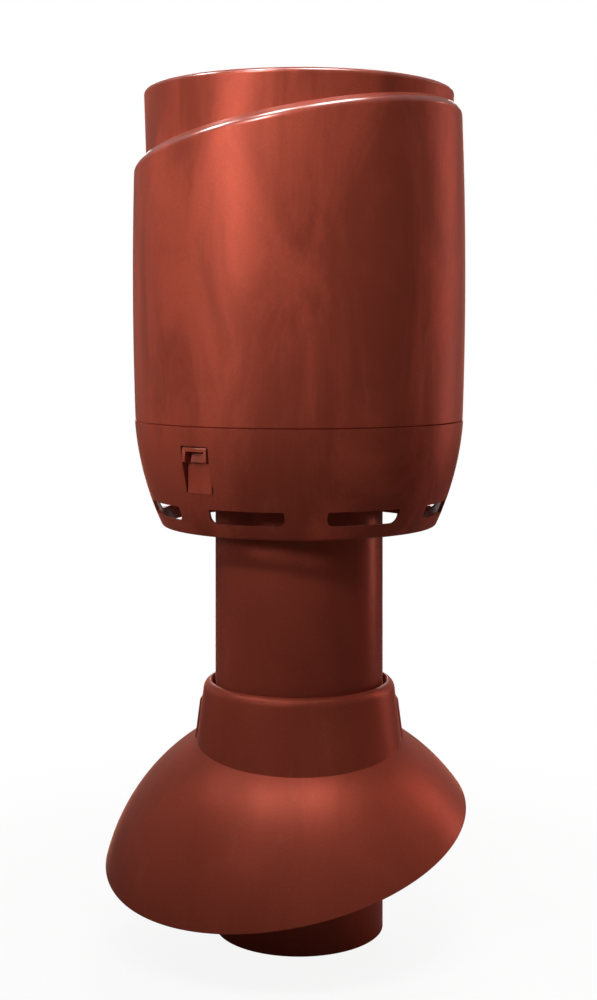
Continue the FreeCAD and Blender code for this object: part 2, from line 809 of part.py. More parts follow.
def make_dish():
    """A shallow cone with a drip edge, on four arms that end in screw lugs."""
    body = new_body("rain_dish")
    edge = lug_height + size.dish_lift
    wall = size.dish_wall
    apex = edge + size.dish_rise
    drip = edge - size.drip_depth
    revolve(body, "dish_section", [
        (0, apex - wall),
        (size.dish_radius - wall, edge - wall),
        (size.dish_radius - wall, drip),
        (size.dish_radius, drip),
        (size.dish_radius, edge),
        (0, apex),
    ])
    arm = extrude(body, "arm", "XZ_Plane", [
        (size.arm_inner_radius, apex - wall - size.lug_wall),
        (size.arm_inner_radius, drip),
        (size.dish_radius - size.lug_wall, lug_height),
        (boss_circle, lug_height),
        (boss_circle, boss_low),
        (boss_circle - size.boss_radius - size.lug_wall, boss_low),
        (size.dish_radius, drip + size.lug_wall),
        (size.dish_radius - wall, edge - wall / 2),
    ], size.arm_wall)
    lug_sketch = new_sketch(body, "lug_outline", "XY_Plane")
    centre = Vector(boss_circle.value, 0, 0)
    circle = lug_sketch.addGeometry(Part.Circle(centre, Vector(0, 0, 1), size.lug_radius.value), False)
    pin_point(lug_sketch, circle, 3, boss_circle, 0)
    radius = lug_sketch.addConstraint(Sketcher.Constraint("Radius", circle, size.lug_radius.value))
    bind(lug_sketch, f"Constraints[{radius}]", size.lug_radius)
    lug_sketch.AttachmentOffset = Placement(Vector(0, 0, lug_height.value), Rotation())
    lug_sketch.setExpression("AttachmentOffset.Base.z", lug_height.text)
    lug = body.newObject("PartDesign::Pad", "lug")
    lug.Profile = lug_sketch
    bind(lug, "Length", size.lug_wall)
    doc.recompute()
    repeat(body, "arms", [arm, lug], size.arm_count)
    body.Placement = Placement(Vector(), facing(size.arm_azimuth))
    holes = [upright_cylinder(f"lug_hole_{number}", size.screw_radius + size.screw_gap,
                              lug_height - CLEAR, boss_low + CLEAR, boss_circle, azimuth)
             for number, azimuth in enumerate(around(size.arm_azimuth, size.arm_count), start=1)]
    body.Label = "dish_form"
    return cut("rain_dish_cut", body, fuse("lug_holes", holes))


def make_screw(name, length):
    """A screw that stands on its point at the origin, with its spherical head up."""
    body = new_body(name)
    shank = size.screw_radius
    crown = length + size.head_height
    crown_rise = size.head_height - size.head_edge
    crown_radius = (size.head_radius * size.head_radius + crown_rise * crown_rise) / (crown_rise * 2)
    half = size.head_radius / 2
    revolve(body, f"{name}_section", [
        (0, 0),
        (shank, size.screw_point),
        (shank, length),
        (size.head_radius, length),
        (size.head_radius, length + size.head_edge),
        (0, crown, half, crown - crown_radius + root(crown_radius * crown_radius - half * half)),
    ])
    return body


def make_screws():
    """Two screws through the collar, three through the cap's hub and four up into the shell's bosses."""
    made = {}
    tip = pipe_bore + size.tip_cover
    for side, azimuth in sides():
        name = f"hood_screw_{side}"
        screw = make_screw(name, head_seat() - tip)
        x, y = turned(tip, as_size(0), azimuth)
        made[name] = place(screw, x, y, hood_screw_height, outward(azimuth))
    for number, azimuth in enumerate(around(size.cap_screw_azimuth, size.cap_screw_count), start=1):
        name = f"cap_screw_{number}"
        screw = make_screw(name, hub_radius - tip)
        x, y = turned(tip, as_size(0), azimuth)
        made[name] = place(screw, x, y, cap_screw_height, outward(azimuth))
    for number, azimuth in enumerate(around(size.arm_azimuth, size.arm_count), start=1):
        name = f"dish_screw_{number}"
        screw = make_screw(name, size.dish_screw_length)
        x, y = turned(boss_circle, as_size(0), azimuth)
        made[name] = place(screw, x, y, lug_height + size.dish_screw_length, Rotation(Vector(1, 0, 0), 180))
    return made


def export(pieces):
    """Check every object of the document, then write each piece to its own file."""
    doc.recompute()
    failed = [item.Name for item in doc.Objects if "Invalid" in item.State or "Error" in item.State]
    if failed:
        raise ValueError(f"objects that failed: {failed}")
    for name, piece in pieces.items():
        if piece.Shape.isNull() or not piece.Shape.isValid():
            raise ValueError(f"{name} has no valid shape")
        if len(piece.Shape.Solids) != 1:
            raise ValueError(f"{name} has {len(piece.Shape.Solids)} solids")
    os.makedirs("parts", exist_ok=True)
    for name, piece in pieces.items():
        piece.Label = name
        piece.Shape.exportStep(os.path.join("parts", f"{name}.step"))
        print(name, round(piece.Shape.Volume), piece.Shape.BoundBox)


def main():
    pieces = {
        "vent_pipe": make_pipe(),
        "roof_hood": make_hood(),
        "hood_seal": make_seal(),
        "cap_base": make_cap_base(),
        "cap_shell": make_cap_shell(),
        "rain_dish": make_dish(),
    }
    pieces.update(make_screws())
    export(pieces)


main()
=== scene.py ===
"""Roof vent pipe in tile-red plastic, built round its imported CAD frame.

A standing pipe, a slotted two-part rain cap on its head and a domed roof hood round its foot.
All lengths are in metres. Azimuths are counted from the front (-Y) and grow towards +X.
"""

import math

import bpy
import numpy as np
from bpy.props import FloatProperty, FloatVectorProperty, IntProperty, PointerProperty
from bpy.types import Operator, Panel, PropertyGroup
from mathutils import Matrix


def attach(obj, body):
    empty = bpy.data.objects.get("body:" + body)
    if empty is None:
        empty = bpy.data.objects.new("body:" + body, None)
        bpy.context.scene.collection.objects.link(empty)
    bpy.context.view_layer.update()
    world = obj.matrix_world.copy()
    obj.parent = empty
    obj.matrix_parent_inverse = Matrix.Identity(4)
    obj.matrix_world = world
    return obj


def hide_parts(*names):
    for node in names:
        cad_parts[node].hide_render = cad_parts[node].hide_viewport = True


bl_info = {
    "name": "Roof Vent Pipe",
    "version": (1, 0, 0),
    "blender": (4, 5, 0),
    "location": "View3D > Sidebar > Roof Vent",
    "description": "Dresses the packed frame of a roof vent pipe in moulded plastic",
    "category": "Add Mesh",
}

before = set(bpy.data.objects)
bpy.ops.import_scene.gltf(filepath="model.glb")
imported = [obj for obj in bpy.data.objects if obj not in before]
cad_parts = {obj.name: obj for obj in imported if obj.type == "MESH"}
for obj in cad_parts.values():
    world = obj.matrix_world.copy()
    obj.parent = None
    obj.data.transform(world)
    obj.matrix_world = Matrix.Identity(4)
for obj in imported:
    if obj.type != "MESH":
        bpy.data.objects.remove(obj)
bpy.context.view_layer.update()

MM = 0.001
TURN = 2 * math.pi
UP = np.array((0, 0, 1))


# Sizes and colours --------------------------------------------------------------------------
# Each of the next functions gives properties by name, ready for a group's annotations.


def label(name):
    """A property's name in words."""
    return name.replace("_", " ").capitalize()


def lengths(**sizes):
    """Lengths, each given in millimetres and with what it measures."""
    return {name: FloatProperty(name=label(name), description=text, default=size * MM, min=0.0,
                                unit="LENGTH", precision=5)
            for name, (size, text) in sizes.items()}


def angles(**turns):
    """Angles, each given in degrees and with what it turns."""
    return {name: FloatProperty(name=label(name), description=text, default=math.radians(turn),
                                subtype="ANGLE", unit="ROTATION")
            for name, (turn, text) in turns.items()}


def counts(**numbers):
    """Whole numbers, each with what it counts."""
    return {name: IntProperty(name=label(name), description=text, default=number, min=1)
            for name, (number, text) in numbers.items()}


def tints(**colours):
    """Colours, each with what it paints."""
    return {name: FloatVectorProperty(name=label(name), description=text, default=colour,
                                      min=0.0, max=1.0, size=3, subtype="COLOR")
            for name, (colour, text) in colours.items()}


class PipeSizes(PropertyGroup):
    __annotations__ = lengths(
        radius=(55.0, "Outer radius of the pipe"),
        wall=(3.0, "Thickness of the pipe's wall"),
        height=(420.0, "Length of the pipe"),
        bevel=(1.2, "Chamfer round the pipe's upper mouth"),
        fit=(0.25, "Gap between the pipe and what it passes through"),
    )


class BowlSizes(PropertyGroup):
    __annotations__ = lengths(
        foot=(264.0, "Height of the bowl's lower rim"),
        seam=(332.0, "Height of the seam between bowl and shell"),
        foot_radius=(89.5, "Outer radius at the lower rim"),
        middle_radius=(102.7, "Outer radius where the curve bulges"),
        middle_lift=(37.2, "How far the bulge lies above the rim"),
        seam_radius=(107.6, "Outer radius at the seam"),
        wall=(3.0, "Thickness of the bowl's wall"),
        throat=(318.0, "Height where the inside turns upright"),
        throat_radius=(101.45, "Inner radius above the throat"),
        spigot_radius=(103.95, "Outer radius of the spigot inside the shell"),
        spigot_top=(344.0, "Height of the spigot's upper edge"),
        rim_rounding=(1.2, "Rounding of the lower rim"),
        slot_foot=(272.6, "Height of the slots' lower edge"),
        slot_height=(9.0, "Height of the slots"),
        slot_half=(24.4, "Half the width of a slot"),
        slot_corner=(5.0, "Rounding of the slots' lower corners"),
        hub_radius=(58.25, "Outer radius of the hub"),
        hub_low=(296.0, "Height of the hub's lower edge"),
        hub_high=(340.0, "Height of the hub's upper edge"),
        rib_wall=(2.5, "Thickness of the ribs"),
        rib_low=(290.0, "Height of the ribs' lower edge"),
        rib_high=(318.0, "Height of the ribs' upper edge"),
    ) | angles(
        slot_azimuth=(25.0, "Azimuth of the first slot"),
    ) | counts(
        slots=(8, "Number of drain slots"),
    )


class LatchSizes(PropertyGroup):
    __annotations__ = lengths(
        window_half=(10.7, "Half the width of a latch window"),
        window_low=(291.6, "Height of the window's lower edge"),
        window_high=(320.6, "Height of the window's upper edge"),
        skin_radius=(104.8, "Inner radius of the thin wall above a window"),
        tongue_width=(19.0, "Width of the sprung tongue"),
        tongue_face=(100.3, "Distance of the tongue's face from the axis"),
        tongue_wall=(2.0, "Thickness of the tongue"),
        tongue_top=(310.0, "Height of the tongue's shoulders"),
        nose_width=(10.2, "Width of the tongue's nose"),
        nose_height=(6.0, "How far the nose rises above the shoulders"),
        nose_reach=(4.8, "How far the catch reaches inward"),
        nose_stand=(3.0, "How far the nose stands out before the tongue"),
        strap_width=(19.0, "Width of the shell's strap"),
        strap_face=(104.2, "Distance of the strap's face from the axis, above the window"),
        strap_flush=(106.0, "Distance of the loop's face from the axis, within the window"),
        strap_wall=(2.3, "Thickness of the strap"),
        strap_opening=(14.0, "Width of the strap's loop"),
        strap_bar=(2.4, "Height of the bars that close the loop"),
        strap_root=(18.0, "How far the strap runs up inside the shell"),
        strap_gap=(1.1, "Gap between the window's upper edge and the loop"),
    ) | angles(
        azimuth=(-37.0, "Azimuth of the first latch"),
    ) | counts(
        count=(2, "Number of snap latches"),
    )


class ShellSizes(PropertyGroup):
    __annotations__ = lengths(
        low_radius=(107.2, "Outer radius at the seam"),
        middle_radius=(109.0, "Outer radius where the barrel is widest"),
        high_radius=(106.5, "Outer radius at the head"),
        middle_lift=(98.0, "How far the widest place lies above the seam"),
        barrel_lift=(213.0, "How far the barrel's curve runs above the seam"),
        wall=(3.0, "Thickness of the shell's wall"),
        seam_bevel=(0.9, "Chamfer along the seam"),
        shoulder=(518.1, "Height of the slanted shoulder on the axis"),
        bevel=(4.6, "Width of the shoulder's bevel"),
        rounding=(7.0, "Rounding under the bevel"),
        ring_low=(480.0, "Height where the inset ring starts"),
        ring_high=(547.7, "Height of the inset ring's lip"),
        ring_low_radius=(99.6, "Outer radius of the inset ring's foot"),
        ring_high_radius=(101.8, "Outer radius of the inset ring's top"),
        lip_rounding=(4.5, "Rounding of the ring's lip"),
        lip_width=(7.5, "Width of the ring's lip"),
        boss_circle=(98.4, "Distance of the screw bosses from the axis"),
        boss_radius=(5.0, "Radius of the screw bosses"),
        boss_height=(18.0, "Height of the screw bosses"),
        boss_web=(3.0, "Thickness of the webs behind the bosses"),
    ) | angles(
        tilt=(10.9, "Slant of the shoulder"),
        azimuth=(66.3, "Azimuth of the shoulder's highest side"),
    )


class DishSizes(PropertyGroup):
    __annotations__ = lengths(
        radius=(76.0, "Outer radius of the dish"),
        wall=(2.5, "Thickness of the dish"),
        edge=(482.0, "Height of the dish's edge"),
        rise=(18.0, "How far the dish's middle rises above its edge"),
        drip=(7.0, "Depth of the drip edge"),
        arm_wall=(2.5, "Thickness of the arms"),
        arm_start=(24.0, "How near the axis the arms begin"),
        lug_radius=(6.0, "Radius of the screw lugs"),
        lug_low=(469.0, "Height of the lugs' underside"),
        lug_wall=(3.0, "Thickness of the lugs"),
    ) | angles(
        arm_azimuth=(25.0, "Azimuth of the first arm"),
    ) | counts(
        arms=(4, "Number of arms"),
    )


class HoodSizes(PropertyGroup):
    __annotations__ = lengths(
        dome_radius=(131.6, "Outer radius of the spherical dome"),
        dome_back=(12.0, "How far the dome's centre lies behind the pipe"),
        dome_height=(11.0, "Height of the dome's centre"),
        wall=(3.0, "Thickness of the hood's wall"),
        rim_height=(64.2, "Height of the rim's plane on the pipe's axis"),
        rim_rounding=(1.2, "Rounding of the rim"),
        neck_radius=(63.3, "Outer radius of the collar at its shoulder"),
        neck_shoulder=(153.0, "Height of the collar's shoulder"),
        neck_top=(162.5, "Height of the collar's lip"),
        neck_rounding=(6.5, "Rounding of the collar's lip"),
        mouth=(58.0, "Inner radius of the collar's lip"),
        lip=(6.5, "Thickness of the collar's lip"),
        guide_wall=(2.4, "Thickness of the guide ribs"),
        guide_low=(118.0, "Height of the guides' lower end"),
        guide_high=(146.0, "Height of the guides' upper end"),
        seal_height=(6.0, "Height of the rubber seal"),
        seal_radius=(60.2, "Outer radius of the rubber seal"),
        pad_half=(12.5, "Half the width of a screw pad"),
        pad_high=(150.5, "Height of the pads' upper edge"),
        pad_depth=(1.3, "How far the pads stand out"),
        pad_slope=(2.6, "Height of the slope above a pad"),
    ) | angles(
        tilt=(14.8, "Slant of the rim"),
        azimuth=(138.6, "Azimuth of the rim's highest side"),
        draft=(7.4, "How far the collar flares downward"),
        pad_azimuth=(100.0, "Azimuth of the two screw pads"),
    ) | counts(
        guides=(8, "Number of guide ribs"),
    )


class ScrewSizes(PropertyGroup):
    __annotations__ = lengths(
        shank=(1.9, "Radius of the shank"),
        point=(1.5, "Length of the point"),
        head=(4.0, "Radius of the head"),
        head_height=(2.2, "Height of the head"),
        head_edge=(0.9, "Height of the head's upright edge"),
        recess=(0.9, "Depth of the cross recess"),
        hood_height=(139.0, "Height of the hood's screws"),
        cap_height=(329.0, "Height of the screws in the cap's hub"),
        dish_length=(15.0, "Length of the screws under the dish"),
        tip_cover=(0.3, "Pipe wall left beyond a screw's point"),
    ) | angles(
        cap_azimuth=(60.0, "Azimuth of the first screw in the hub"),
    ) | counts(
        cap_count=(3, "Number of screws in the hub"),
    )


class VentColours(PropertyGroup):
    __annotations__ = tints(
        plastic=((0.40, 0.070, 0.040), "Tile-red plastic of the mouldings"),
        dust=((0.5, 0.135, 0.085), "Paler bloom on the plastic"),
        pipe=((0.37, 0.065, 0.038), "Plastic of the extruded pipe"),
        rubber=((0.022, 0.021, 0.02), "Seal rubber"),
        steel=((0.62, 0.61, 0.58), "Screw steel"),
        floor=((0.86, 0.86, 0.86), "Pale studio floor"),
    )


class VentModel(PropertyGroup):
    pipe: PointerProperty(type=PipeSizes)
    bowl: PointerProperty(type=BowlSizes)
    latch: PointerProperty(type=LatchSizes)
    shell: PointerProperty(type=ShellSizes)
    dish: PointerProperty(type=DishSizes)
    hood: PointerProperty(type=HoodSizes)
    screw: PointerProperty(type=ScrewSizes)
    colours: PointerProperty(type=VentColours)


# Surfaces -----------------------------------------------------------------------------------


def turned(radii, heights, azimuths):
    """Points at radii, heights and azimuths: (r sin a, -r cos a, z)."""
    radii, heights, azimuths = np.broadcast_arrays(radii, heights, azimuths)
    return np.stack((radii * np.sin(azimuths), -radii * np.cos(azimuths), heights), -1)


def compass(azimuth):
    """The directions outward and to the side at an azimuth."""
    sine, cosine = math.sin(azimuth), math.cos(azimuth)
    return np.array((sine, -cosine, 0)), np.array((cosine, sine, 0))


def round_azimuths(columns):
    """Evenly spaced azimuths over one full turn."""
    return np.arange(columns) * TURN / columns


def around(first, count):
    """Azimuths of evenly spaced copies."""
    return [first + TURN * step / count for step in range(count)]


def half_turn(angles):
    """Angles brought to within half a turn of nought."""
    return (angles + math.pi) % TURN - math.pi


def shares(count):
    """Evenly spaced shares between 0 and 1, without either end."""
    return np.linspace(0, 1, count + 2)[1:-1]


def arc_radius(first, second, third):
    """The circle through three points of radius and height, as a function from height to radius.

    Its centre is where the two chords' middle perpendiculars meet, and the radius at a height is
    the centre's radius plus the root of the circle's radius squared less the height difference
    squared.
    """
    points = np.array([first, second, third])
    chords = points[1:] - points[:-1]
    middles = (points[1:] + points[:-1]) / 2
    centre = np.linalg.solve(chords, (chords * middles).sum(1))
    reach = np.hypot(*(points[0] - centre))
    return lambda height: centre[0] + np.sqrt(reach ** 2 - (height - centre[1]) ** 2)


def unit(vectors):
    """Vectors brought to length 1, and their lengths."""
    runs = np.linalg.norm(vectors, axis=-1, keepdims=True)
    return vectors / runs, runs


def rounded(corners, roundings, steps=6):
    """Round the corners of an outline, for every column at once.

    corners has the shape (corner, column, 2), in radius and height. A rounded corner becomes an
    arc tangent to both of its sides: it starts at rounding / tan(half the corner's angle) from
    the corner, and its points turn evenly round the arc's centre. A row just outside each end
    keeps the long runs flat.
    """
    flat_row = 0.35 * MM
    longest_start = 0.45
    longest_margin = 0.2
    straightest = 0.99999
    rows = []
    for index, rounding in enumerate(roundings):
        corner = corners[index]
        if rounding == 0:
            rows.append(corner)
            continue
        before, before_run = unit(corners[index - 1] - corner)
        after, after_run = unit(corners[(index + 1) % len(corners)] - corner)
        cosine = (before * after).sum(-1, keepdims=True)
        half = np.arccos(np.clip(cosine, -straightest, straightest)) / 2
        room = np.minimum(before_run, after_run) * longest_start
        start = np.minimum(rounding / np.tan(half), room)
        centre = corner + unit(before + after)[0] * start / np.cos(half)
        first = corner + before * start - centre
        last = corner + after * start - centre
        sweep = math.pi - 2 * half
        margin = np.minimum(flat_row, room * longest_margin)
        rows.append(corner + before * (start + margin))
        for step in range(steps + 1):
            share = step / steps
            near, far = np.sin((1 - share) * sweep), np.sin(share * sweep)
            rows.append(centre + (near * first + far * last) / np.sin(sweep))
        rows.append(corner + after * (start + margin))
    return np.stack(rows)


def band(section, azimuths):
    """A closed section of radii and heights carried round the axis, as points and faces."""
    points = turned(section[..., 0], section[..., 1], azimuths[None, :])
    index = np.arange(points.shape[0] * points.shape[1]).reshape(points.shape[:2])
    right = np.roll(index, -1, 1)
    faces = np.stack((index, right, np.roll(right, -1, 0), np.roll(index, -1, 0)), -1)
    return points.reshape(-1, 3), faces.reshape(-1, 4).tolist(), False


def revolved(outline, roundings, columns, steps=3):
    """An outline of radii and heights turned about the pipe's axis."""
    corners = np.repeat(np.array(outline, float)[:, None, :], columns, 1)
    return band(rounded(corners, roundings, steps), round_azimuths(columns))


def sleeve(bore, radius, low, high, rounding, columns):
    """A tube about the axis with its four edges rounded."""
    outline = [(bore, low), (radius, low), (radius, high), (bore, high)]
    return revolved(outline, [rounding] * 4, columns)


def slab(front, back, keep):
    """Two facing sheets of points, closed round their column direction, joined into one wall.

    keep tells which cells of the sheets are there. Every edge between a cell that is there and
    one that isn't gets a face from the front sheet to the back sheet.
    """
    rows, columns = front.shape[:2]
    size = rows * columns
    index = np.arange(size).reshape(rows, columns)
    right = np.roll(index, -1, 1)
    quads = np.stack((index[:-1], right[:-1], right[1:], index[1:]), -1)[keep]
    gone = np.zeros((1, columns), bool)
    below = np.vstack((gone, keep))
    above = np.vstack((keep, gone))
    left = np.roll(keep, 1, 1)
    walls = (
        (right, index, above & ~below),
        (index, right, below & ~above),
        (index[:-1], index[1:], keep & ~left),
        (index[1:], index[:-1], left & ~keep),
    )
    faces = [quads, quads[:, ::-1] + size]
    for start, end, there in walls:
        faces.append(np.stack((start, end, end + size, start + size), -1)[there])
    points = np.concatenate((front.reshape(-1, 3), back.reshape(-1, 3)))
    return points, np.concatenate(faces).tolist(), False


def prism(profile, width, azimuth):
    """An outline of radii and heights, given a width across the radial line at an azimuth.

    Its edges are softened later by a bevel.
    """
    profile = np.array(profile, float)
    following = np.roll(profile, -1, 0)
    area = (profile[:, 0] * following[:, 1] - following[:, 0] * profile[:, 1]).sum()
    if area < 0:
        profile = profile[::-1]
    out, side = compass(azimuth)
    middle = profile[:, :1] * out + profile[:, 1:] * UP
    points = np.concatenate((middle - side * width / 2, middle + side * width / 2))
    count = len(profile)
    index = np.arange(count)
    ahead = np.roll(index, -1)
    faces = [index.tolist(), (index[::-1] + count).tolist()]
    faces += np.stack((ahead, index, index + count, ahead + count), -1).tolist()
    return points, faces, True


def moved(part, shift):
    """A part moved by a vector."""
    points, faces, soft = part
    return points + shift, faces, soft


def put_piece(context, name, parts, finish, nodes):
    """Make one object of the parts, dress it, and let it stand for its CAD nodes."""
    points = np.concatenate([part[0] for part in parts])
    faces = []
    soft_points = []
    start = 0
    for part_points, part_faces, soft in parts:
        faces += [[start + corner for corner in face] for face in part_faces]
        if soft:
            soft_points += range(start, start + len(part_points))
        start += len(part_points)
    mesh = bpy.data.meshes.new(name)
    mesh.from_pydata(points, [], faces)
    mesh.polygons.foreach_set("use_smooth", np.ones(len(faces), bool))
    mesh.set_sharp_from_angle(angle=math.radians(40))
    mesh.materials.append(finishes(context.scene.vent.colours)[finish])
    piece = bpy.data.objects.new(name, mesh)
    context.scene.collection.objects.link(piece)
    if soft_points:
        group = piece.vertex_groups.new(name="softened")
        group.add(soft_points, 1.0, "REPLACE")
        bevel = piece.modifiers.new("edge_rounding", "BEVEL")
        bevel.width = 0.3 * MM
        bevel.segments = 2
        bevel.limit_method = "VGROUP"
        bevel.vertex_group = group.name
    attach(piece, "root")
    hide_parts(*nodes)


# Materials ----------------------------------------------------------------------------------


class Value:
    """A number that varies over a surface: a node's socket with arithmetic."""

    def __init__(self, shader, socket):
        self.shader = shader
        self.socket = socket

    def combined(self, operation, *terms):
        """The result of a Math node on two terms."""
        settings = {"operation": operation}
        node = self.shader.node("ShaderNodeMath", settings, dict(enumerate(terms)))
        return self.shader.value(node)

    def __add__(self, other):
        return self.combined("ADD", self, other)

    def __radd__(self, other):
        return self.combined("ADD", other, self)

    def __sub__(self, other):
        return self.combined("SUBTRACT", self, other)

    def __rsub__(self, other):
        return self.combined("SUBTRACT", other, self)

    def __mul__(self, other):
        return self.combined("MULTIPLY", self, other)

    def __rmul__(self, other):
        return self.combined("MULTIPLY", other, self)

    def at_most(self, other):
        return self.combined("MINIMUM", self, other)

    def band(self, low, high):
        """0 below low and 1 above high, with a smooth step between."""
        settings = {"interpolation_type": "SMOOTHSTEP"}
        sockets = {"Value": self, "From Min": low, "From Max": high}
        return self.shader.value(self.shader.node("ShaderNodeMapRange", settings, sockets))


class Shader:
    """The node tree of a material or a world."""

    def __init__(self, owner):
        owner.use_nodes = True
        self.tree = owner.node_tree
        self.tree.nodes.clear()

    def node(self, kind, settings=None, inputs=None):
        """Add a node: its settings are set first, then its sockets get values or links."""
        node = self.tree.nodes.new(kind)
        for name, setting in (settings or {}).items():
            setattr(node, name, setting)
        for name, value in (inputs or {}).items():
            socket = node.inputs[name]
            if isinstance(value, Value):
                self.tree.links.new(value.socket, socket)
            elif isinstance(value, bpy.types.NodeSocket):
                self.tree.links.new(value, socket)
            else:
                socket.default_value = value
        return node

    def value(self, node, output=0):
        """One of a node's outputs as a Value."""
        return Value(self, node.outputs[output])

    def coordinates(self, kind):
        """An output of Texture Coordinate, such as Object."""
        return self.node("ShaderNodeTexCoord").outputs[kind]

    def along(self, vector, axis):
        """One of a vector's three numbers."""
        return self.value(self.node("ShaderNodeSeparateXYZ", None, {0: vector}), axis)

    def noise(self, squeeze, scale, detail=2.0, roughness=0.5, distortion=0.0):
        """Noise on Object coordinates whose heights are multiplied by squeeze.

        A squeeze under 1 draws the pattern out upward.
        """
        place = self.node("ShaderNodeMapping", None,
                          {"Vector": self.coordinates("Object"), "Scale": (1.0, 1.0, squeeze)})
        return self.value(self.node("ShaderNodeTexNoise", None, {
            "Vector": place.outputs[0], "Scale": scale, "Detail": detail,
            "Roughness": roughness, "Distortion": distortion}))

    def mix(self, factor, first, second):
        """One colour blended into another."""
        sockets = {"Factor": factor, 6: first, 7: second}
        return self.node("ShaderNodeMix", {"data_type": "RGBA"}, sockets).outputs[2]

    def blend(self, factor, first, second):
        """One surface or background blended into another."""
        sockets = {0: factor, 1: first, 2: second}
        return self.node("ShaderNodeMixShader", None, sockets).outputs[0]

    def bump(self, height, strength, distance):
        sockets = {"Height": height, "Strength": strength, "Distance": distance}
        return self.node("ShaderNodeBump", None, sockets).outputs[0]

    def emitter(self, kind, strength):
        """White light of a strength."""
        sockets = {"Color": opaque((1, 1, 1)), "Strength": strength}
        return self.node(kind, None, sockets).outputs[0]

    def finish(self, surface, kind="ShaderNodeOutputMaterial"):
        self.node(kind, None, {"Surface": surface})

    def principled(self, sockets):
        """A Principled surface as the whole look."""
        self.finish(self.node("ShaderNodeBsdfPrincipled", None, sockets).outputs[0])


def opaque(rgb, factor=1.0):
    """A colour made darker or lighter by a factor, with full alpha."""
    return (*(min(part * factor, 1.0) for part in rgb), 1.0)


def plastic(shader, base, dust, flow=1.0, grain=1.0, gloss=0.44, clouds=0.3, lustre=0.15,
            polish=0.0):
    """Moulded plastic: clouded colour that is partly painted reflection, faint upright flow lines,
    fine pits and a soft gloss.

    flow, grain and clouds are the strength of the flow lines, the fine relief and the clouds. The
    clouds' darker and lighter patches in the colour are partly random tone and partly painted
    reflection.
    lustre is the share of light that is mirrored in the plastic's own red. polish is the share of
    clear gloss on faces that slant upward, such as a bevel or a lip, where upward is the height
    part of the normal.
    """
    cloud = shader.noise(0.4, 20.0, 5.0, 0.62, 0.8)
    streak = shader.noise(0.05, 90.0, 3.0, 0.55, 0.4)
    scuff = shader.noise(0.22, 46.0, 4.0, 0.65, 1.2).band(0.62, 0.72)
    waves = shader.noise(0.3, 18.0)
    mottle = shader.noise(1.0, 160.0)
    pits = shader.noise(1.0, 520.0, 1.0)
    grains = shader.noise(1.0, 1500.0, 2.0, 0.6)
    upward = shader.along(shader.coordinates("Normal"), 2)

    # Darker and lighter copies of the base colour, blended by clouds: random tone, and also painted
    # reflection of the surroundings.
    dark, light = opaque(base, 1 - 0.24 * clouds), opaque(base, 1 + 0.2 * clouds)
    clouds_and_painted_reflection = shader.mix(cloud.band(0.36, 0.64), dark, light)
    streaked = shader.mix(streak.band(0.56, 0.8) * (0.22 * flow), clouds_and_painted_reflection, opaque(dust))
    grained = shader.mix(grains.band(0.35, 0.62) * 0.3, streaked, opaque(base, 0.6))
    height = grains * 0.5 + pits.band(0.4, 0.6) * 0.3 + mottle * 0.35
    shader.principled({
        "Base Color": shader.mix(scuff * (0.14 * flow), grained, opaque(dust)),
        "Roughness": (cloud * (0.14 * clouds) + mottle * 0.06 + grains * 0.05 + scuff * 0.06
                      + (gloss - 0.13)),
        "Normal": shader.bump(height + streak * (0.5 * flow) + waves * (10.0 * clouds),
                              0.35 * grain, 0.12 * MM),
        "Metallic": lustre,
        "IOR": 1.46,
        "Specular IOR Level": 0.08,
        "Coat Weight": upward.band(0.12, 0.4) * (1 - upward.band(0.7, 0.92)) * polish,
        "Coat Roughness": 0.19,
        "Coat IOR": 2.4,
        "Sheen Weight": 1.0,
        "Sheen Roughness": 0.18,
        "Sheen Tint": opaque((1.0, 0.35, 0.22)),
    })


def rubber(shader, base):
    """Dull black rubber with a fine dusty bloom."""
    bloom = shader.noise(1.0, 220.0, 3.0, 0.6)
    grains = shader.noise(1.0, 1800.0)
    shader.principled({
        "Base Color": shader.mix(bloom.band(0.5, 0.8) * 0.4, opaque(base), opaque(base, 3.0)),
        "Roughness": bloom * 0.2 + 0.62,
        "Normal": shader.bump(grains + bloom, 0.3, 0.1 * MM),
    })


def steel(shader, base):
    """Zinc-plated screw steel with turning marks."""
    cloud = shader.noise(1.0, 900.0, 3.0, 0.6)
    marks = shader.noise(9.0, 1400.0)
    shader.principled({
        "Base Color": shader.mix(cloud.band(0.4, 0.75) * 0.5, opaque(base), opaque(base, 0.6)),
        "Metallic": 1.0,
        "Roughness": cloud * 0.2 + marks * 0.12 + 0.2,
        "Normal": shader.bump(marks, 0.15, 0.05 * MM),
    })


SLOTS = {
    "moulded_plastic": "tile_red_plastic",
    "brimmed_plastic": "tile_red_plastic",
    "extruded_plastic": "tile_red_plastic",
    "dull_rubber": "seal_rubber",
    "plated_steel": "screw_steel",
}


def finishes(colours):
    """The five finishes, made once and shared by the pieces."""
    made = bpy.data.materials
    if "moulded_plastic" in made:
        return made
    moulded, brimmed, extruded, dull, plated = (Shader(made.new(name)) for name in SLOTS)
    plastic(moulded, colours.plastic, colours.dust, lustre=0.27)
    # The brimmed finish has the strongest clouds, and so the most painted reflection.
    plastic(brimmed, colours.plastic, colours.dust, clouds=1.0, lustre=0.35, polish=1.0)
    plastic(extruded, colours.pipe, colours.dust, flow=0.6, grain=0.5, gloss=0.38)
    rubber(dull, colours.rubber)
    steel(plated, colours.steel)
    return made


# Pieces -------------------------------------------------------------------------------------


class VENT_OT_pipe(Operator):
    """Make the standing pipe"""

    bl_idname = "vent.pipe"
    bl_label = "Pipe"

    def execute(self, context):
        sizes = context.scene.vent.pipe
        bore = sizes.radius - sizes.wall
        outline = [
            (bore, 0),
            (sizes.radius, 0),
            (sizes.radius, sizes.height - sizes.bevel),
            (sizes.radius - sizes.bevel, sizes.height),
            (bore, sizes.height),
        ]
        tube = revolved(outline, [0.3 * MM] * len(outline), 256)
        put_piece(context, "vent_pipe_tube", [tube], "extruded_plastic", ["vent_pipe"])
        return {"FINISHED"}


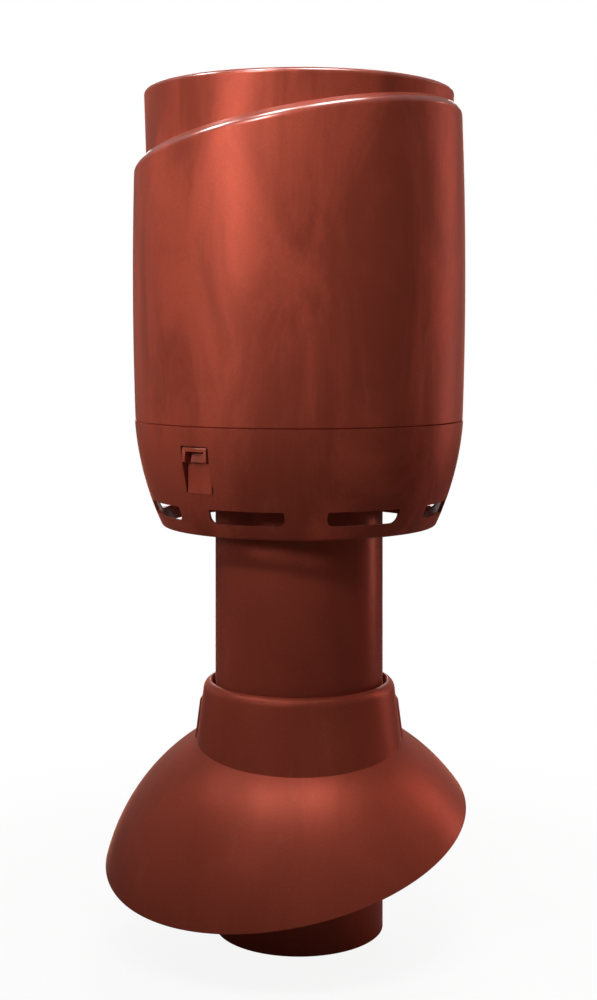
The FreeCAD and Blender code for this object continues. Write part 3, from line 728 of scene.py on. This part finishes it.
def bowl_curves(sizes):
    """The bowl's outer and inner radius at a height."""
    middle = sizes.foot + sizes.middle_lift
    outer = arc_radius((sizes.foot_radius, sizes.foot), (sizes.middle_radius, middle),
                       (sizes.seam_radius, sizes.seam))
    arc = arc_radius((sizes.foot_radius - sizes.wall, sizes.foot),
                     (sizes.middle_radius - sizes.wall, middle),
                     (sizes.throat_radius, sizes.throat))

    def inner(height):
        curved = arc(np.minimum(height, sizes.throat))
        return np.where(height < sizes.throat, curved, sizes.throat_radius)

    return outer, inner


def bowl_wall(sizes, latch):
    """The bowl with its slots and latch windows.

    Rows lie at heights and columns at azimuths. Within each slot's sector the columns are spread
    so that one column on each side follows the slot's outline: its azimuth is
    asin(half width / radius), with the half width drawn in by the corner's rounding. Beside a
    latch window the nearest columns are moved to its sides, less and less towards the slots.
    """
    slack = MM / 100
    outer, inner = bowl_curves(sizes)
    quarter = np.linspace(0, math.pi / 2, 5)
    rim = sizes.foot + sizes.rim_rounding * (1 - np.cos(quarter))
    rim_inset = sizes.rim_rounding * (1 - np.sin(quarter))
    quarter = np.linspace(0, math.pi / 2, 6)
    corner = sizes.slot_foot + sizes.slot_corner * (1 - np.cos(quarter))
    corner_inset = sizes.slot_corner * (1 - np.sin(quarter))
    slot_head = sizes.slot_foot + sizes.slot_height
    ledge = sizes.seam - 1.2 * MM
    wall_heights = np.concatenate((
        rim,
        np.linspace(rim[-1], sizes.slot_foot, 6)[1:-1],
        corner,
        np.linspace(corner[-1], slot_head, 4)[1:],
        np.linspace(slot_head, latch.window_low, 8)[1:],
        np.linspace(latch.window_low, latch.window_high, 16)[1:],
        np.linspace(latch.window_high, ledge, 6)[1:],
    ))
    spigot = np.linspace(sizes.seam, sizes.spigot_top, 5)
    heights = np.concatenate((wall_heights, spigot))
    front_heights = np.concatenate((wall_heights[:-1], [sizes.seam], spigot))
    wall_radii = outer(front_heights[:len(wall_heights)])
    front_radii = np.concatenate((wall_radii, np.full(len(spigot), sizes.spigot_radius)))
    front_radii[:len(rim_inset)] -= rim_inset
    back_radii = inner(heights)

    bridge_cells = 15
    slot_cells = 30
    sector = TURN / sizes.slots
    per_sector = 2 * (bridge_cells + slot_cells)
    steps = np.arange(per_sector) - per_sector // 2
    half_width = np.interp(heights, corner, sizes.slot_half - corner_inset)

    def columns_at(radii):
        """Azimuths of all columns, one row for each radius."""
        edge = np.arcsin(half_width / radii)[:, None]
        across = np.clip(steps / slot_cells, -1, 1) * half_width[:, None]
        inside = np.arcsin(across / radii[:, None])
        beyond = np.clip((np.abs(steps) - slot_cells) / bridge_cells, 0, 1)
        outside = np.sign(steps) * (edge + beyond * (sector / 2 - edge))
        one = np.where(np.abs(steps) <= slot_cells, inside, outside)
        return np.concatenate([one + turn for turn in around(sizes.slot_azimuth, sizes.slots)], 1)

    front_azimuths = columns_at(front_radii)
    back_azimuths = columns_at(back_radii)
    columns = front_azimuths.shape[1]
    slot_rows = (heights[:-1] > sizes.slot_foot - slack) & (heights[1:] < slot_head + slack)
    slot_columns = (steps >= -slot_cells) & (steps < slot_cells)
    keep = ~(slot_rows[:, None] & np.tile(slot_columns, sizes.slots)[None, :])

    front_grid = np.repeat(front_radii[:, None], columns, 1)
    back_grid = np.repeat(back_radii[:, None], columns, 1)
    moved_columns = 6
    fade = 8 * MM
    near = np.clip(1 - np.maximum(latch.window_low - fade - heights, 0) / fade, 0, 1)
    window_row = int(np.argmin(np.abs(heights - latch.window_low)))
    window_rows = ((heights[:-1] > latch.window_low - slack)
                   & (heights[1:] < latch.window_high + slack))
    notch_rows = heights[:-1] > sizes.seam - slack
    skin_rows = (heights > latch.window_high - slack) & (heights < sizes.seam + slack)
    for azimuth in around(latch.azimuth, latch.count):
        sides = []
        for side in (-1, 1):
            aim = azimuth + side * np.arcsin(latch.window_half / front_radii)
            gap = half_turn(front_azimuths[window_row] - aim[window_row])
            nearest = int(np.argmin(np.abs(gap)))
            sides.append(nearest)
            offsets = (np.arange(columns) - nearest + columns // 2) % columns - columns // 2
            share = np.clip(1 - np.abs(offsets) / moved_columns, 0, 1)[None, :] * near[:, None]
            for azimuths, radii in ((front_azimuths, front_radii), (back_azimuths, back_radii)):
                aim = azimuth + side * np.arcsin(latch.window_half / radii)
                azimuths += share * half_turn(aim - azimuths[:, nearest])[:, None]
        edges = (sides[0] + np.arange((sides[1] - sides[0]) % columns + 1)) % columns
        keep[np.ix_(window_rows | notch_rows, edges[:-1])] = False
        back_grid[np.ix_(skin_rows, edges)] = latch.skin_radius
        front_grid[len(wall_heights), edges] = latch.skin_radius + 0.1 * MM

    front = turned(front_grid, front_heights[:, None], front_azimuths)
    back = turned(back_grid, heights[:, None], back_azimuths)
    return slab(front, back, keep)


def tongue(latch, azimuth):
    """A sprung plate in a latch window, with a nose that catches the shell's strap."""
    face = latch.tongue_face
    wall = latch.tongue_wall
    back = face - wall
    catch = back - latch.nose_reach
    top = latch.tongue_top
    foot = latch.window_low
    nose_top = top + latch.nose_height
    plate = [
        (back, foot - wall),
        (face - wall / 2, foot - wall),
        (face, foot),
        (face, top),
        (back, top),
    ]
    nose = [
        (catch, top - latch.nose_reach),
        (face - wall / 2, top - latch.nose_reach),
        (face, top),
        (face + latch.nose_stand, top + wall / 4),
        (face + latch.nose_stand / 2, nose_top),
        (back - wall / 2, nose_top),
        (catch, top - wall / 2),
    ]
    return [prism(plate, latch.tongue_width, azimuth), prism(nose, latch.nose_width, azimuth)]


class VENT_OT_cap_bowl(Operator):
    """Make the cap's slotted bowl with its hub, ribs and latch tongues"""

    bl_idname = "vent.cap_bowl"
    bl_label = "Cap bowl"

    def execute(self, context):
        model = context.scene.vent
        sizes = model.bowl
        bore = model.pipe.radius + model.pipe.fit
        hub = sleeve(bore, sizes.hub_radius, sizes.hub_low, sizes.hub_high, 0.5 * MM, 160)
        parts = [bowl_wall(sizes, model.latch), hub]
        inner = bowl_curves(sizes)[1]
        sunk = 0.4 * MM
        start = sizes.hub_radius - sunk
        heights = np.linspace(sizes.rib_low, sizes.rib_high, 6)
        rib = [(start, sizes.rib_low)]
        rib += [(float(inner(height)) + sunk, height) for height in heights]
        rib.append((start, sizes.rib_high))
        for azimuth in around(sizes.slot_azimuth, sizes.slots):
            parts.append(prism(rib, sizes.rib_wall, azimuth))
        for azimuth in around(model.latch.azimuth, model.latch.count):
            parts += tongue(model.latch, azimuth)
        put_piece(context, "cap_bowl", parts, "brimmed_plastic", ["cap_base"])
        return {"FINISHED"}


def strap(latch, sizes, seam, azimuth):
    """A strap that hangs from the shell, stands flush in the window and loops round the nose.

    Its foot steps in behind the tongue, where the bar under the loop is caught by the nose.
    """
    face = latch.strap_face
    wall = latch.strap_wall
    front = latch.strap_flush
    gap = 0.25 * MM
    behind = latch.tongue_face - latch.tongue_wall - gap
    catch = latch.tongue_top - latch.nose_reach - 2 * gap
    foot = catch - latch.strap_bar
    shelf = latch.tongue_top + gap
    root = seam + latch.strap_root
    held = sizes.low_radius - sizes.wall / 3
    step = latch.window_high - latch.strap_gap
    opening_high = step - latch.strap_bar
    top = [
        (held, seam + MM),
        (held, root),
        (face - wall, root),
        (face - wall, opening_high),
        (front, opening_high),
        (front, step),
        (face, step),
        (face, seam + gap),
    ]
    legs = [
        (face - wall, opening_high),
        (face - wall, shelf + 1.5 * wall),
        (behind - wall, shelf + wall),
        (behind - wall, catch),
        (behind, catch),
        (behind, shelf),
        (front - wall / 2, shelf),
        (front, shelf + wall / 2),
        (front, opening_high),
    ]
    bar = [(behind - wall, catch), (behind - wall, foot), (behind, foot), (behind, catch)]
    leg = prism(legs, (latch.strap_width - latch.strap_opening) / 2, azimuth)
    aside = compass(azimuth)[1] * (latch.strap_width + latch.strap_opening) / 4
    return [prism(top, latch.strap_width, azimuth), prism(bar, latch.strap_width, azimuth),
            moved(leg, -aside), moved(leg, aside)]


class Section:
    """A closed section of radii and heights, gathered corner by corner for all columns."""

    def __init__(self, azimuths):
        self.level = np.zeros(len(azimuths))
        self.rows = []
        self.roundings = []

    def add(self, radius, height, rounding=0):
        """Add a corner, with one radius and height for all columns or for each."""
        self.rows.append(np.stack((radius + self.level, height + self.level), -1))
        self.roundings.append(rounding)

    def closed(self):
        """The whole section with its corners rounded."""
        return rounded(np.stack(self.rows), self.roundings)


def shell_section(sizes, seam, azimuths):
    """The shell's closed section at every azimuth.

    The shoulder's height is the slanted plane's: shoulder + radius x tan(tilt) x cos(azimuth from
    the highest side). Below it the barrel's arc is followed up, above it the inset ring, over its
    lip and down inside.
    """
    barrel = arc_radius((sizes.low_radius, seam), (sizes.middle_radius, seam + sizes.middle_lift),
                        (sizes.high_radius, seam + sizes.barrel_lift))
    flare = (sizes.ring_high_radius - sizes.ring_low_radius) / (sizes.ring_high - sizes.ring_low)
    slope = math.tan(sizes.tilt) * np.cos(azimuths - sizes.azimuth)
    bevel = sizes.bevel
    wall = sizes.wall
    edge = 0.2 * MM
    fold = 0.5 * MM

    def ring(height):
        return sizes.ring_low_radius + (height - sizes.ring_low) * flare

    def plane(radius):
        return sizes.shoulder + radius * slope

    section = Section(azimuths)
    corner = barrel(plane(barrel(sizes.shoulder)))
    bevel_low = plane(corner) - bevel
    section.add(sizes.low_radius - sizes.seam_bevel, seam, edge)
    section.add(sizes.low_radius, seam + sizes.seam_bevel, edge)
    for share in shares(24):
        low = seam + sizes.seam_bevel
        height = low + share * (bevel_low - sizes.rounding - low)
        section.add(barrel(height), height)
    section.add(barrel(bevel_low), bevel_low, sizes.rounding)
    section.add(corner - bevel, plane(corner - bevel), fold)
    foot = plane(ring(plane(sizes.ring_low_radius)))
    section.add(ring(foot), foot, 0.35 * MM)
    section.add(ring(sizes.ring_high), sizes.ring_high, sizes.lip_rounding)

    mouth = sizes.ring_high_radius - sizes.lip_width
    lip_low = sizes.ring_high - wall
    section.add(mouth, sizes.ring_high, 1.0 * MM)
    section.add(mouth, lip_low, 0.8 * MM)
    section.add(ring(lip_low) - wall, lip_low, fold)
    drop = wall / math.cos(sizes.tilt)
    inner_ring = ring(foot) - wall
    section.add(inner_ring, plane(inner_ring) - drop, fold)
    inner_corner = corner - wall
    inner_bevel = bevel - wall / 2
    inner_start = inner_corner - inner_bevel
    section.add(inner_start, plane(inner_start) - drop, fold)
    inner_low = plane(inner_corner) - drop - inner_bevel
    section.add(barrel(inner_low) - wall, inner_low, fold)
    for share in shares(12):
        height = inner_low + share * (seam - inner_low)
        section.add(barrel(height) - wall, height)
    section.add(sizes.low_radius - wall, seam, edge)
    return section.closed()


class VENT_OT_cap_shell(Operator):
    """Make the cap's upper shell with its slanted shoulder, inset ring, bosses and straps"""

    bl_idname = "vent.cap_shell"
    bl_label = "Cap shell"

    def execute(self, context):
        model = context.scene.vent
        sizes = model.shell
        seam = model.bowl.seam
        azimuths = round_azimuths(320)
        parts = [band(shell_section(sizes, seam, azimuths), azimuths)]
        sunk = 0.5 * MM
        low = model.dish.lug_low + model.dish.lug_wall
        high = low + sizes.boss_height
        boss = sleeve(model.screw.shank, sizes.boss_radius, low, high, 0.3 * MM, 40)
        start = sizes.boss_circle + sizes.boss_radius - sunk
        end = sizes.middle_radius - sizes.wall + sunk
        web = [(start, low), (end, low), (end, high), (start, high)]
        for azimuth in around(model.dish.arm_azimuth, model.dish.arms):
            parts.append(moved(boss, compass(azimuth)[0] * sizes.boss_circle))
            parts.append(prism(web, sizes.boss_web, azimuth))
        for azimuth in around(model.latch.azimuth, model.latch.count):
            parts += strap(model.latch, sizes, seam, azimuth)
        put_piece(context, "cap_shell_barrel", parts, "brimmed_plastic", ["cap_shell"])
        return {"FINISHED"}


class VENT_OT_rain_dish(Operator):
    """Make the rain dish with its arms and lugs"""

    bl_idname = "vent.rain_dish"
    bl_label = "Rain dish"

    def execute(self, context):
        model = context.scene.vent
        sizes = model.dish
        wall = sizes.wall
        apex = sizes.edge + sizes.rise
        drip = sizes.edge - sizes.drip
        pole = 1.0 * MM
        edge = 0.5 * MM
        parts = [revolved([
            (pole, apex - wall),
            (sizes.radius - wall, sizes.edge - wall),
            (sizes.radius - wall, drip),
            (sizes.radius, drip),
            (sizes.radius, sizes.edge),
            (pole, apex),
        ], [0, 2 * edge, edge, edge, 3 * edge, 0], 256, 5)]
        circle = model.shell.boss_circle
        low = sizes.lug_low
        high = low + sizes.lug_wall
        lug = sleeve(model.screw.shank, sizes.lug_radius, low, high, 0.4 * MM, 48)
        arm_end = circle - sizes.lug_radius + edge
        arm = [
            (sizes.arm_start, apex - wall - sizes.lug_wall),
            (sizes.arm_start, drip),
            (sizes.radius - sizes.lug_wall, low),
            (arm_end, low),
            (arm_end, high),
            (circle - model.shell.boss_radius - sizes.lug_wall, high),
            (sizes.radius, drip + sizes.lug_wall),
            (sizes.radius - wall, sizes.edge - wall / 2),
        ]
        for azimuth in around(sizes.arm_azimuth, sizes.arms):
            parts.append(moved(lug, compass(azimuth)[0] * circle))
            parts.append(prism(arm, sizes.arm_wall, azimuth))
        put_piece(context, "rain_dish_cone", parts, "moulded_plastic", ["rain_dish"])
        return {"FINISHED"}


def neck(sizes, height):
    """The collar's outer radius at a height: a cone that flares downward by its draft."""
    return sizes.neck_radius + (sizes.neck_shoulder - height) * math.tan(sizes.draft)


def hood_section(sizes, azimuths):
    """The hood's closed section at every azimuth.

    A half plane through the pipe's axis cuts the dome's sphere in a circle: its centre lies at
    radius -back x cos(azimuth), and its radius squared is the sphere's less
    (back x sin(azimuth)) squared. The rim is where the slanted plane's line meets that circle,
    and the collar's foot is where the collar's cone meets it. A screw pad lifts the collar by a
    smooth step of the distance from the pad's middle.
    """
    wall = sizes.wall
    centre = -sizes.dome_back * np.cos(azimuths)
    aside = sizes.dome_back * np.sin(azimuths)
    slope = math.tan(sizes.tilt) * np.cos(azimuths - sizes.azimuth)
    flare = math.tan(sizes.draft)
    gap = np.abs((np.abs(half_turn(azimuths)) - sizes.pad_azimuth)) * sizes.neck_radius
    pad = np.clip((sizes.pad_half - gap) / sizes.pad_slope + 0.5, 0, 1)
    pad = pad * pad * (3 - 2 * pad) * sizes.pad_depth

    def line_meets(start, lean, reach):
        """Where the line height = start + lean x radius meets the circle of a sphere's reach."""
        rise = start - sizes.dome_height
        a = 1 + lean ** 2
        b = lean * rise - centre
        c = centre ** 2 + rise ** 2 - reach ** 2 + aside ** 2
        radius = (-b + np.sqrt(b ** 2 - a * c)) / a
        return radius, start + lean * radius

    def cone_meets(shift, reach):
        """Where the collar's cone, moved outward by shift, meets that circle."""
        base = sizes.neck_radius + shift + flare * (sizes.neck_shoulder - sizes.dome_height)
        a = 1 + flare ** 2
        b = -flare * (base - centre)
        c = (base - centre) ** 2 - reach ** 2 + aside ** 2
        rise = (-b + np.sqrt(b ** 2 - a * c)) / a
        return base - flare * rise, sizes.dome_height + rise

    section = Section(azimuths)

    def add_dome(first, last, reach, count):
        """Points on the circle, evenly turned between two of its points, without either end."""
        start, end = (np.arctan2(height - sizes.dome_height, radius - centre)
                      for radius, height in (first, last))
        circle = np.sqrt(reach ** 2 - aside ** 2)
        for share in shares(count):
            turn = start + share * (end - start)
            section.add(centre + circle * np.cos(turn), sizes.dome_height + circle * np.sin(turn))

    inner_reach = sizes.dome_radius - wall
    rim_outer = line_meets(sizes.rim_height, slope, sizes.dome_radius)
    rim_inner = line_meets(sizes.rim_height, slope, inner_reach)
    foot_outer = cone_meets(pad, sizes.dome_radius)
    foot_inner = cone_meets(-wall, inner_reach)
    fold = 0.5 * MM
    section.add(*rim_inner, 0.9 * MM)
    section.add(*rim_outer, sizes.rim_rounding)
    add_dome(rim_outer, foot_outer, sizes.dome_radius, 56)
    section.add(*foot_outer, fold)

    pad_crown = sizes.pad_high - sizes.pad_slope
    for share in (0.2, 0.5, 0.8, 0.97, 1):
        height = foot_outer[1] + share * (pad_crown - foot_outer[1])
        section.add(neck(sizes, height) + pad, height)
    halfway = pad_crown + sizes.pad_slope / 2
    section.add(neck(sizes, halfway) + pad / 2, halfway)
    for height in (sizes.pad_high, sizes.pad_high + fold):
        section.add(neck(sizes, height), height)

    lip_height = sizes.neck_top - sizes.neck_rounding
    lip_radius = neck(sizes, lip_height) - sizes.neck_rounding / math.cos(sizes.draft)
    lip_end = math.acos((sizes.mouth - lip_radius) / sizes.neck_rounding)
    for turn in np.linspace(sizes.draft, lip_end, 14):
        section.add(lip_radius + sizes.neck_rounding * math.cos(turn),
                    lip_height + sizes.neck_rounding * math.sin(turn),
                    0.35 * MM if turn == lip_end else 0)
    under = sizes.neck_top - sizes.lip
    section.add(sizes.mouth, under, 0.4 * MM)
    section.add(neck(sizes, under) - wall, under, 0.4 * MM)
    for share in (0.3, 0.7):
        height = under + share * (foot_inner[1] - under)
        section.add(neck(sizes, height) - wall, height)
    section.add(*foot_inner, fold)
    add_dome(foot_inner, rim_inner, inner_reach, 40)
    return section.closed()


class VENT_OT_roof_hood(Operator):
    """Make the domed roof hood with its collar and guides"""

    bl_idname = "vent.roof_hood"
    bl_label = "Roof hood"

    def execute(self, context):
        model = context.scene.vent
        sizes = model.hood
        azimuths = round_azimuths(400)
        parts = [band(hood_section(sizes, azimuths), azimuths)]
        bore = model.pipe.radius + model.pipe.fit
        low, high = sizes.guide_low, sizes.guide_high
        sunk = 0.4 * MM
        guide = [(bore, low), (neck(sizes, low) - sizes.wall + sunk, low),
                 (neck(sizes, high) - sizes.wall + sunk, high), (bore, high)]
        for azimuth in around(0.0, sizes.guides):
            parts.append(prism(guide, sizes.guide_wall, azimuth))
        put_piece(context, "roof_hood_dome", parts, "moulded_plastic", ["roof_hood"])
        return {"FINISHED"}


class VENT_OT_hood_seal(Operator):
    """Make the rubber seal under the collar's lip"""

    bl_idname = "vent.hood_seal"
    bl_label = "Hood seal"

    def execute(self, context):
        model = context.scene.vent
        inner = model.pipe.radius + 0.05 * MM
        outer = model.hood.seal_radius
        low = model.hood.guide_high
        high = low + model.hood.seal_height
        middle = (low + high) / 2
        groove = 0.8 * MM
        outline = [(inner, low), (outer, low), (outer, middle - groove), (outer - groove, middle),
                   (outer, middle + groove), (outer, high), (inner, high)]
        ring = revolved(outline, [0.4 * MM] * len(outline), 200)
        put_piece(context, "hood_seal_ring", [ring], "dull_rubber", ["hood_seal"])
        return {"FINISHED"}


def screw_part(sizes, reach):
    """A screw along +Z with its seat at height 0: a domed head with a cross recess, and a thread.

    The head is a cap of a sphere lowered by the recess: deepest in the middle, along two crossed
    bars. The thread is a saw-tooth of height and azimuth taken off the shank's radius.
    """
    azimuths = round_azimuths(48)
    cosines, sines = np.cos(azimuths), np.sin(azimuths)

    def rings(radii, heights):
        """Rows of points round the screw's axis."""
        x, y = radii * cosines, radii * sines
        return np.stack((x, y, np.broadcast_to(heights, x.shape)), -1)

    pitch = 1.4 * MM
    thread = 0.28 * MM
    row_gap = 0.2 * MM
    bluntest = 0.05
    thread_end = 0.9
    heights = np.linspace(-reach, 0, max(int(reach / row_gap), 8))[:, None]
    taper = np.clip((heights + reach) / sizes.point, bluntest, 1)
    tooth = np.abs((azimuths / TURN + heights / pitch) % 1.0 - 0.5) * 2
    shank = (sizes.shank - thread * (1 - tooth) * (taper > thread_end)) * taper

    seat = 0.94 * sizes.head
    seat_edge = 0.12 * MM
    side_radii = np.array((seat, sizes.head, sizes.head))[:, None]
    side_heights = np.array((0.0, seat_edge, sizes.head_edge))[:, None]

    bar_half = 0.42 * MM
    bar_fade = 1.25
    bar_reach = 2.2 * MM
    end_fade = 1.1
    end_slope = 3
    pole = 0.02
    crown_rise = sizes.head_height - sizes.head_edge
    ball = (sizes.head ** 2 + crown_rise ** 2) / (2 * crown_rise)
    radii = np.linspace(1.0, pole, 22)[1:, None] * sizes.head
    x, y = np.abs(radii * cosines), np.abs(radii * sines)
    across = np.clip(bar_fade - np.minimum(x, y) / bar_half, 0, 1)
    along = np.clip((end_fade - np.maximum(x, y) / bar_reach) * end_slope, 0, 1)
    crown = sizes.head_height - ball + np.sqrt(ball ** 2 - radii ** 2)

    points = np.concatenate((rings(shank, heights), rings(side_radii, side_heights),
                             rings(radii, crown - across * along * sizes.recess)))
    index = np.arange(points.shape[0] * points.shape[1]).reshape(points.shape[:2])
    right = np.roll(index, -1, 1)
    faces = np.stack((index[:-1], right[:-1], right[1:], index[1:]), -1).reshape(-1, 4).tolist()
    faces += [index[0, ::-1].tolist(), index[-1].tolist()]
    return points.reshape(-1, 3), faces


class VENT_OT_screws(Operator):
    """Make the screws of the hood, the hub and the rain dish"""

    bl_idname = "vent.screws"
    bl_label = "Screws"

    def execute(self, context):
        model = context.scene.vent
        sizes = model.screw
        hood = model.hood
        tip = model.pipe.radius - model.pipe.wall + sizes.tip_cover
        seat = neck(hood, sizes.hood_height) + hood.pad_depth - sizes.head_height
        radial = [("hood_screw_left", seat, sizes.hood_height, -hood.pad_azimuth),
                  ("hood_screw_right", seat, sizes.hood_height, hood.pad_azimuth)]
        for number, azimuth in enumerate(around(sizes.cap_azimuth, sizes.cap_count), start=1):
            radial.append((f"cap_screw_{number}", model.bowl.hub_radius, sizes.cap_height, azimuth))
        for node, start, height, azimuth in radial:
            points, faces = screw_part(sizes, start - tip)
            out, side = compass(azimuth)
            placed = (out * (points[:, 2:] + start) + side * points[:, :1]
                      + UP * (points[:, 1:2] + height))
            put_piece(context, f"{node}_steel", [(placed, faces, False)], "plated_steel", [node])
        for number, azimuth in enumerate(around(model.dish.arm_azimuth, model.dish.arms), start=1):
            points, faces = screw_part(sizes, sizes.dish_length)
            place = compass(azimuth)[0] * model.shell.boss_circle + UP * model.dish.lug_low
            head_down = points * np.array((1, -1, -1))
            node = f"dish_screw_{number}"
            put_piece(context, f"{node}_steel", [(head_down + place, faces, False)],
                      "plated_steel", [node])
        return {"FINISHED"}


# Stage --------------------------------------------------------------------------------------

CAMERA_PLACE = (0, -1.026, 0.3885)
LENS = 56.05
LENS_SHIFT = (-0.0006, -0.166)
WORLD_STRENGTH = 0.13
WORLD_MIRRORED = 0.12
FLOOR_RADIUS = 4.0

MIDDLE = (0, 0, 0.32)
CAP = (0, 0, 0.5)
SHOULDER = (-0.05, -0.09, 0.51)
COLLAR_FOOT = (0, -0.08, 0.1)
WHITE = (1, 1, 1)
WARM = (1.0, 0.48, 0.38)
WIDE = 180

# Name, place, aim, width and height, watts, beam in degrees, colour
LAMPS = (
    ("key", (-0.72, -1.1, 1.27), CAP, (0.6, 0.4), 0.44, 22, WHITE),
    ("low_key", (-1.05, -1.05, 0.78), CAP, (0.25, 0.4), 0.17, 22, WHITE),
    ("overhead_left", (-0.72, 0.04, 1.31), SHOULDER, (0.45, 0.45), 0.16, 14, WHITE),
    ("overhead_front", (-0.37, -0.32, 1.49), SHOULDER, (0.45, 0.45), 0.16, 20, WHITE),
    ("hood_light", (0.16, -0.31, 1.35), COLLAR_FOOT, (0.5, 0.3), 0.28, 40, WHITE),
    ("back_light", (0, 1.3, 0.95), MIDDLE, (0.8, 0.8), 3.0, 70, WHITE),
    ("left_edge", (-1.18, 0.55, 0.39), MIDDLE, (0.2, 1.3), 0.4, WIDE, WARM),
    ("right_edge", (1.146, 0.609, 0.39), MIDDLE, (0.2, 1.3), 5.0, WIDE, WARM),
)


def soft_box(scene, name, place, aim, size, watts, beam, colour):
    """An area lamp at a place, turned towards a point, with its light kept within a beam."""
    lamp = bpy.data.lights.new(name, "AREA")
    lamp.shape = "RECTANGLE"
    lamp.size, lamp.size_y = size
    lamp.energy = watts
    lamp.color = colour
    lamp.spread = math.radians(beam)
    box = bpy.data.objects.new(name, lamp)
    scene.collection.objects.link(box)
    look = np.array(aim) - np.array(place)
    box.location = place
    tilt = math.atan2(math.hypot(look[0], look[1]), -look[2])
    box.rotation_euler = (tilt, 0, math.atan2(look[1], look[0]) - math.pi / 2)


def paint_floor(shader, colour):
    """A pale floor that glows white in the camera's view, more so away from the object.

    In the lamps' own light it is darker, and it is clear from below.
    """
    where = shader.coordinates("Object")
    distance = shader.node("ShaderNodeVectorMath", {"operation": "LENGTH"}, {0: where})
    reach = shader.value(distance, "Value")
    seen = shader.value(shader.node("ShaderNodeLightPath"), "Is Camera Ray")
    speckled = shader.mix(shader.noise(1.0, 3.0) * 0.1, opaque(colour), opaque(colour, 0.96))
    paint = shader.node("ShaderNodeBsdfDiffuse", None,
                        {"Color": shader.mix(seen, opaque(colour, 0.3), speckled)})
    glow = shader.emitter("ShaderNodeEmission", 1.0)
    lit = shader.blend(seen * (reach.band(0.05, 0.5) * 0.1 + 0.9), paint.outputs[0], glow)
    below = shader.value(shader.node("ShaderNodeNewGeometry"), "Backfacing")
    clear = shader.node("ShaderNodeBsdfTransparent").outputs[0]
    shader.finish(shader.blend(below, lit, clear))


def paint_world(shader):
    """A dim world that the camera sees as white, and mirrors see as pale behind the object."""
    paths = shader.node("ShaderNodeLightPath")
    behind = shader.along(shader.coordinates("Generated"), 1).band(-0.25, 0.55)
    mirrored = shader.value(paths, "Is Glossy Ray") + shader.value(paths, "Is Transmission Ray")
    white = shader.value(paths, "Is Camera Ray") + mirrored * behind * WORLD_MIRRORED
    dim = shader.emitter("ShaderNodeBackground", WORLD_STRENGTH)
    bright = shader.emitter("ShaderNodeBackground", 1.0)
    shader.finish(shader.blend(white.at_most(1.0), dim, bright), "ShaderNodeOutputWorld")


class VENT_OT_stage(Operator):
    """Make the camera, the soft lamps, the pale floor and the white world"""

    bl_idname = "vent.stage"
    bl_label = "Stage"

    def execute(self, context):
        scene = context.scene
        scene.view_settings.view_transform = "Standard"

        lens = bpy.data.cameras.new("camera")
        lens.sensor_width = 36.0
        lens.lens = LENS
        lens.shift_x, lens.shift_y = LENS_SHIFT
        camera = bpy.data.objects.new("camera", lens)
        camera.location = CAMERA_PLACE
        camera.rotation_euler = (math.pi / 2, 0, 0)
        scene.collection.objects.link(camera)
        scene.camera = camera
        for lamp in LAMPS:
            soft_box(scene, *lamp)

        mesh = bpy.data.meshes.new("floor")
        rim = turned(FLOOR_RADIUS, 0.0, round_azimuths(96))
        mesh.from_pydata(rim, [], [list(range(len(rim)))])
        floor = bpy.data.objects.new("floor", mesh)
        scene.collection.objects.link(floor)
        material = bpy.data.materials.new("studio_floor")
        paint_floor(Shader(material), scene.vent.colours.floor)
        mesh.materials.append(material)

        scene.world = bpy.data.worlds.new("studio_world")
        paint_world(Shader(scene.world))
        return {"FINISHED"}


class VENT_PT_panel(Panel):
    """Lists the vent's pieces and sizes"""

    bl_idname = "VENT_PT_panel"
    bl_label = "Roof Vent"
    bl_space_type = "VIEW_3D"
    bl_region_type = "UI"
    bl_category = "Roof Vent"

    def draw(self, context):
        for operator in OPERATORS:
            self.layout.operator(operator.bl_idname)
        model = context.scene.vent
        for name in VentModel.__annotations__:
            box = self.layout.box()
            group = getattr(model, name)
            for key in group.__annotations__:
                box.prop(group, key)


OPERATORS = (
    VENT_OT_stage,
    VENT_OT_pipe,
    VENT_OT_roof_hood,
    VENT_OT_hood_seal,
    VENT_OT_cap_bowl,
    VENT_OT_cap_shell,
    VENT_OT_rain_dish,
    VENT_OT_screws,
)
GROUPS = (PipeSizes, BowlSizes, LatchSizes, ShellSizes, DishSizes, HoodSizes, ScrewSizes,
          VentColours, VentModel)
CLASSES = (*GROUPS, *OPERATORS, VENT_PT_panel)


def register():
    for item in CLASSES:
        bpy.utils.register_class(item)
    bpy.types.Scene.vent = PointerProperty(type=VentModel)


def unregister():
    del bpy.types.Scene.vent
    for item in reversed(CLASSES):
        bpy.utils.unregister_class(item)


def main():
    register()
    for operator in OPERATORS:
        family, name = operator.bl_idname.split(".")
        getattr(getattr(bpy.ops, family), name)()


if __name__ == "__main__":
    main()
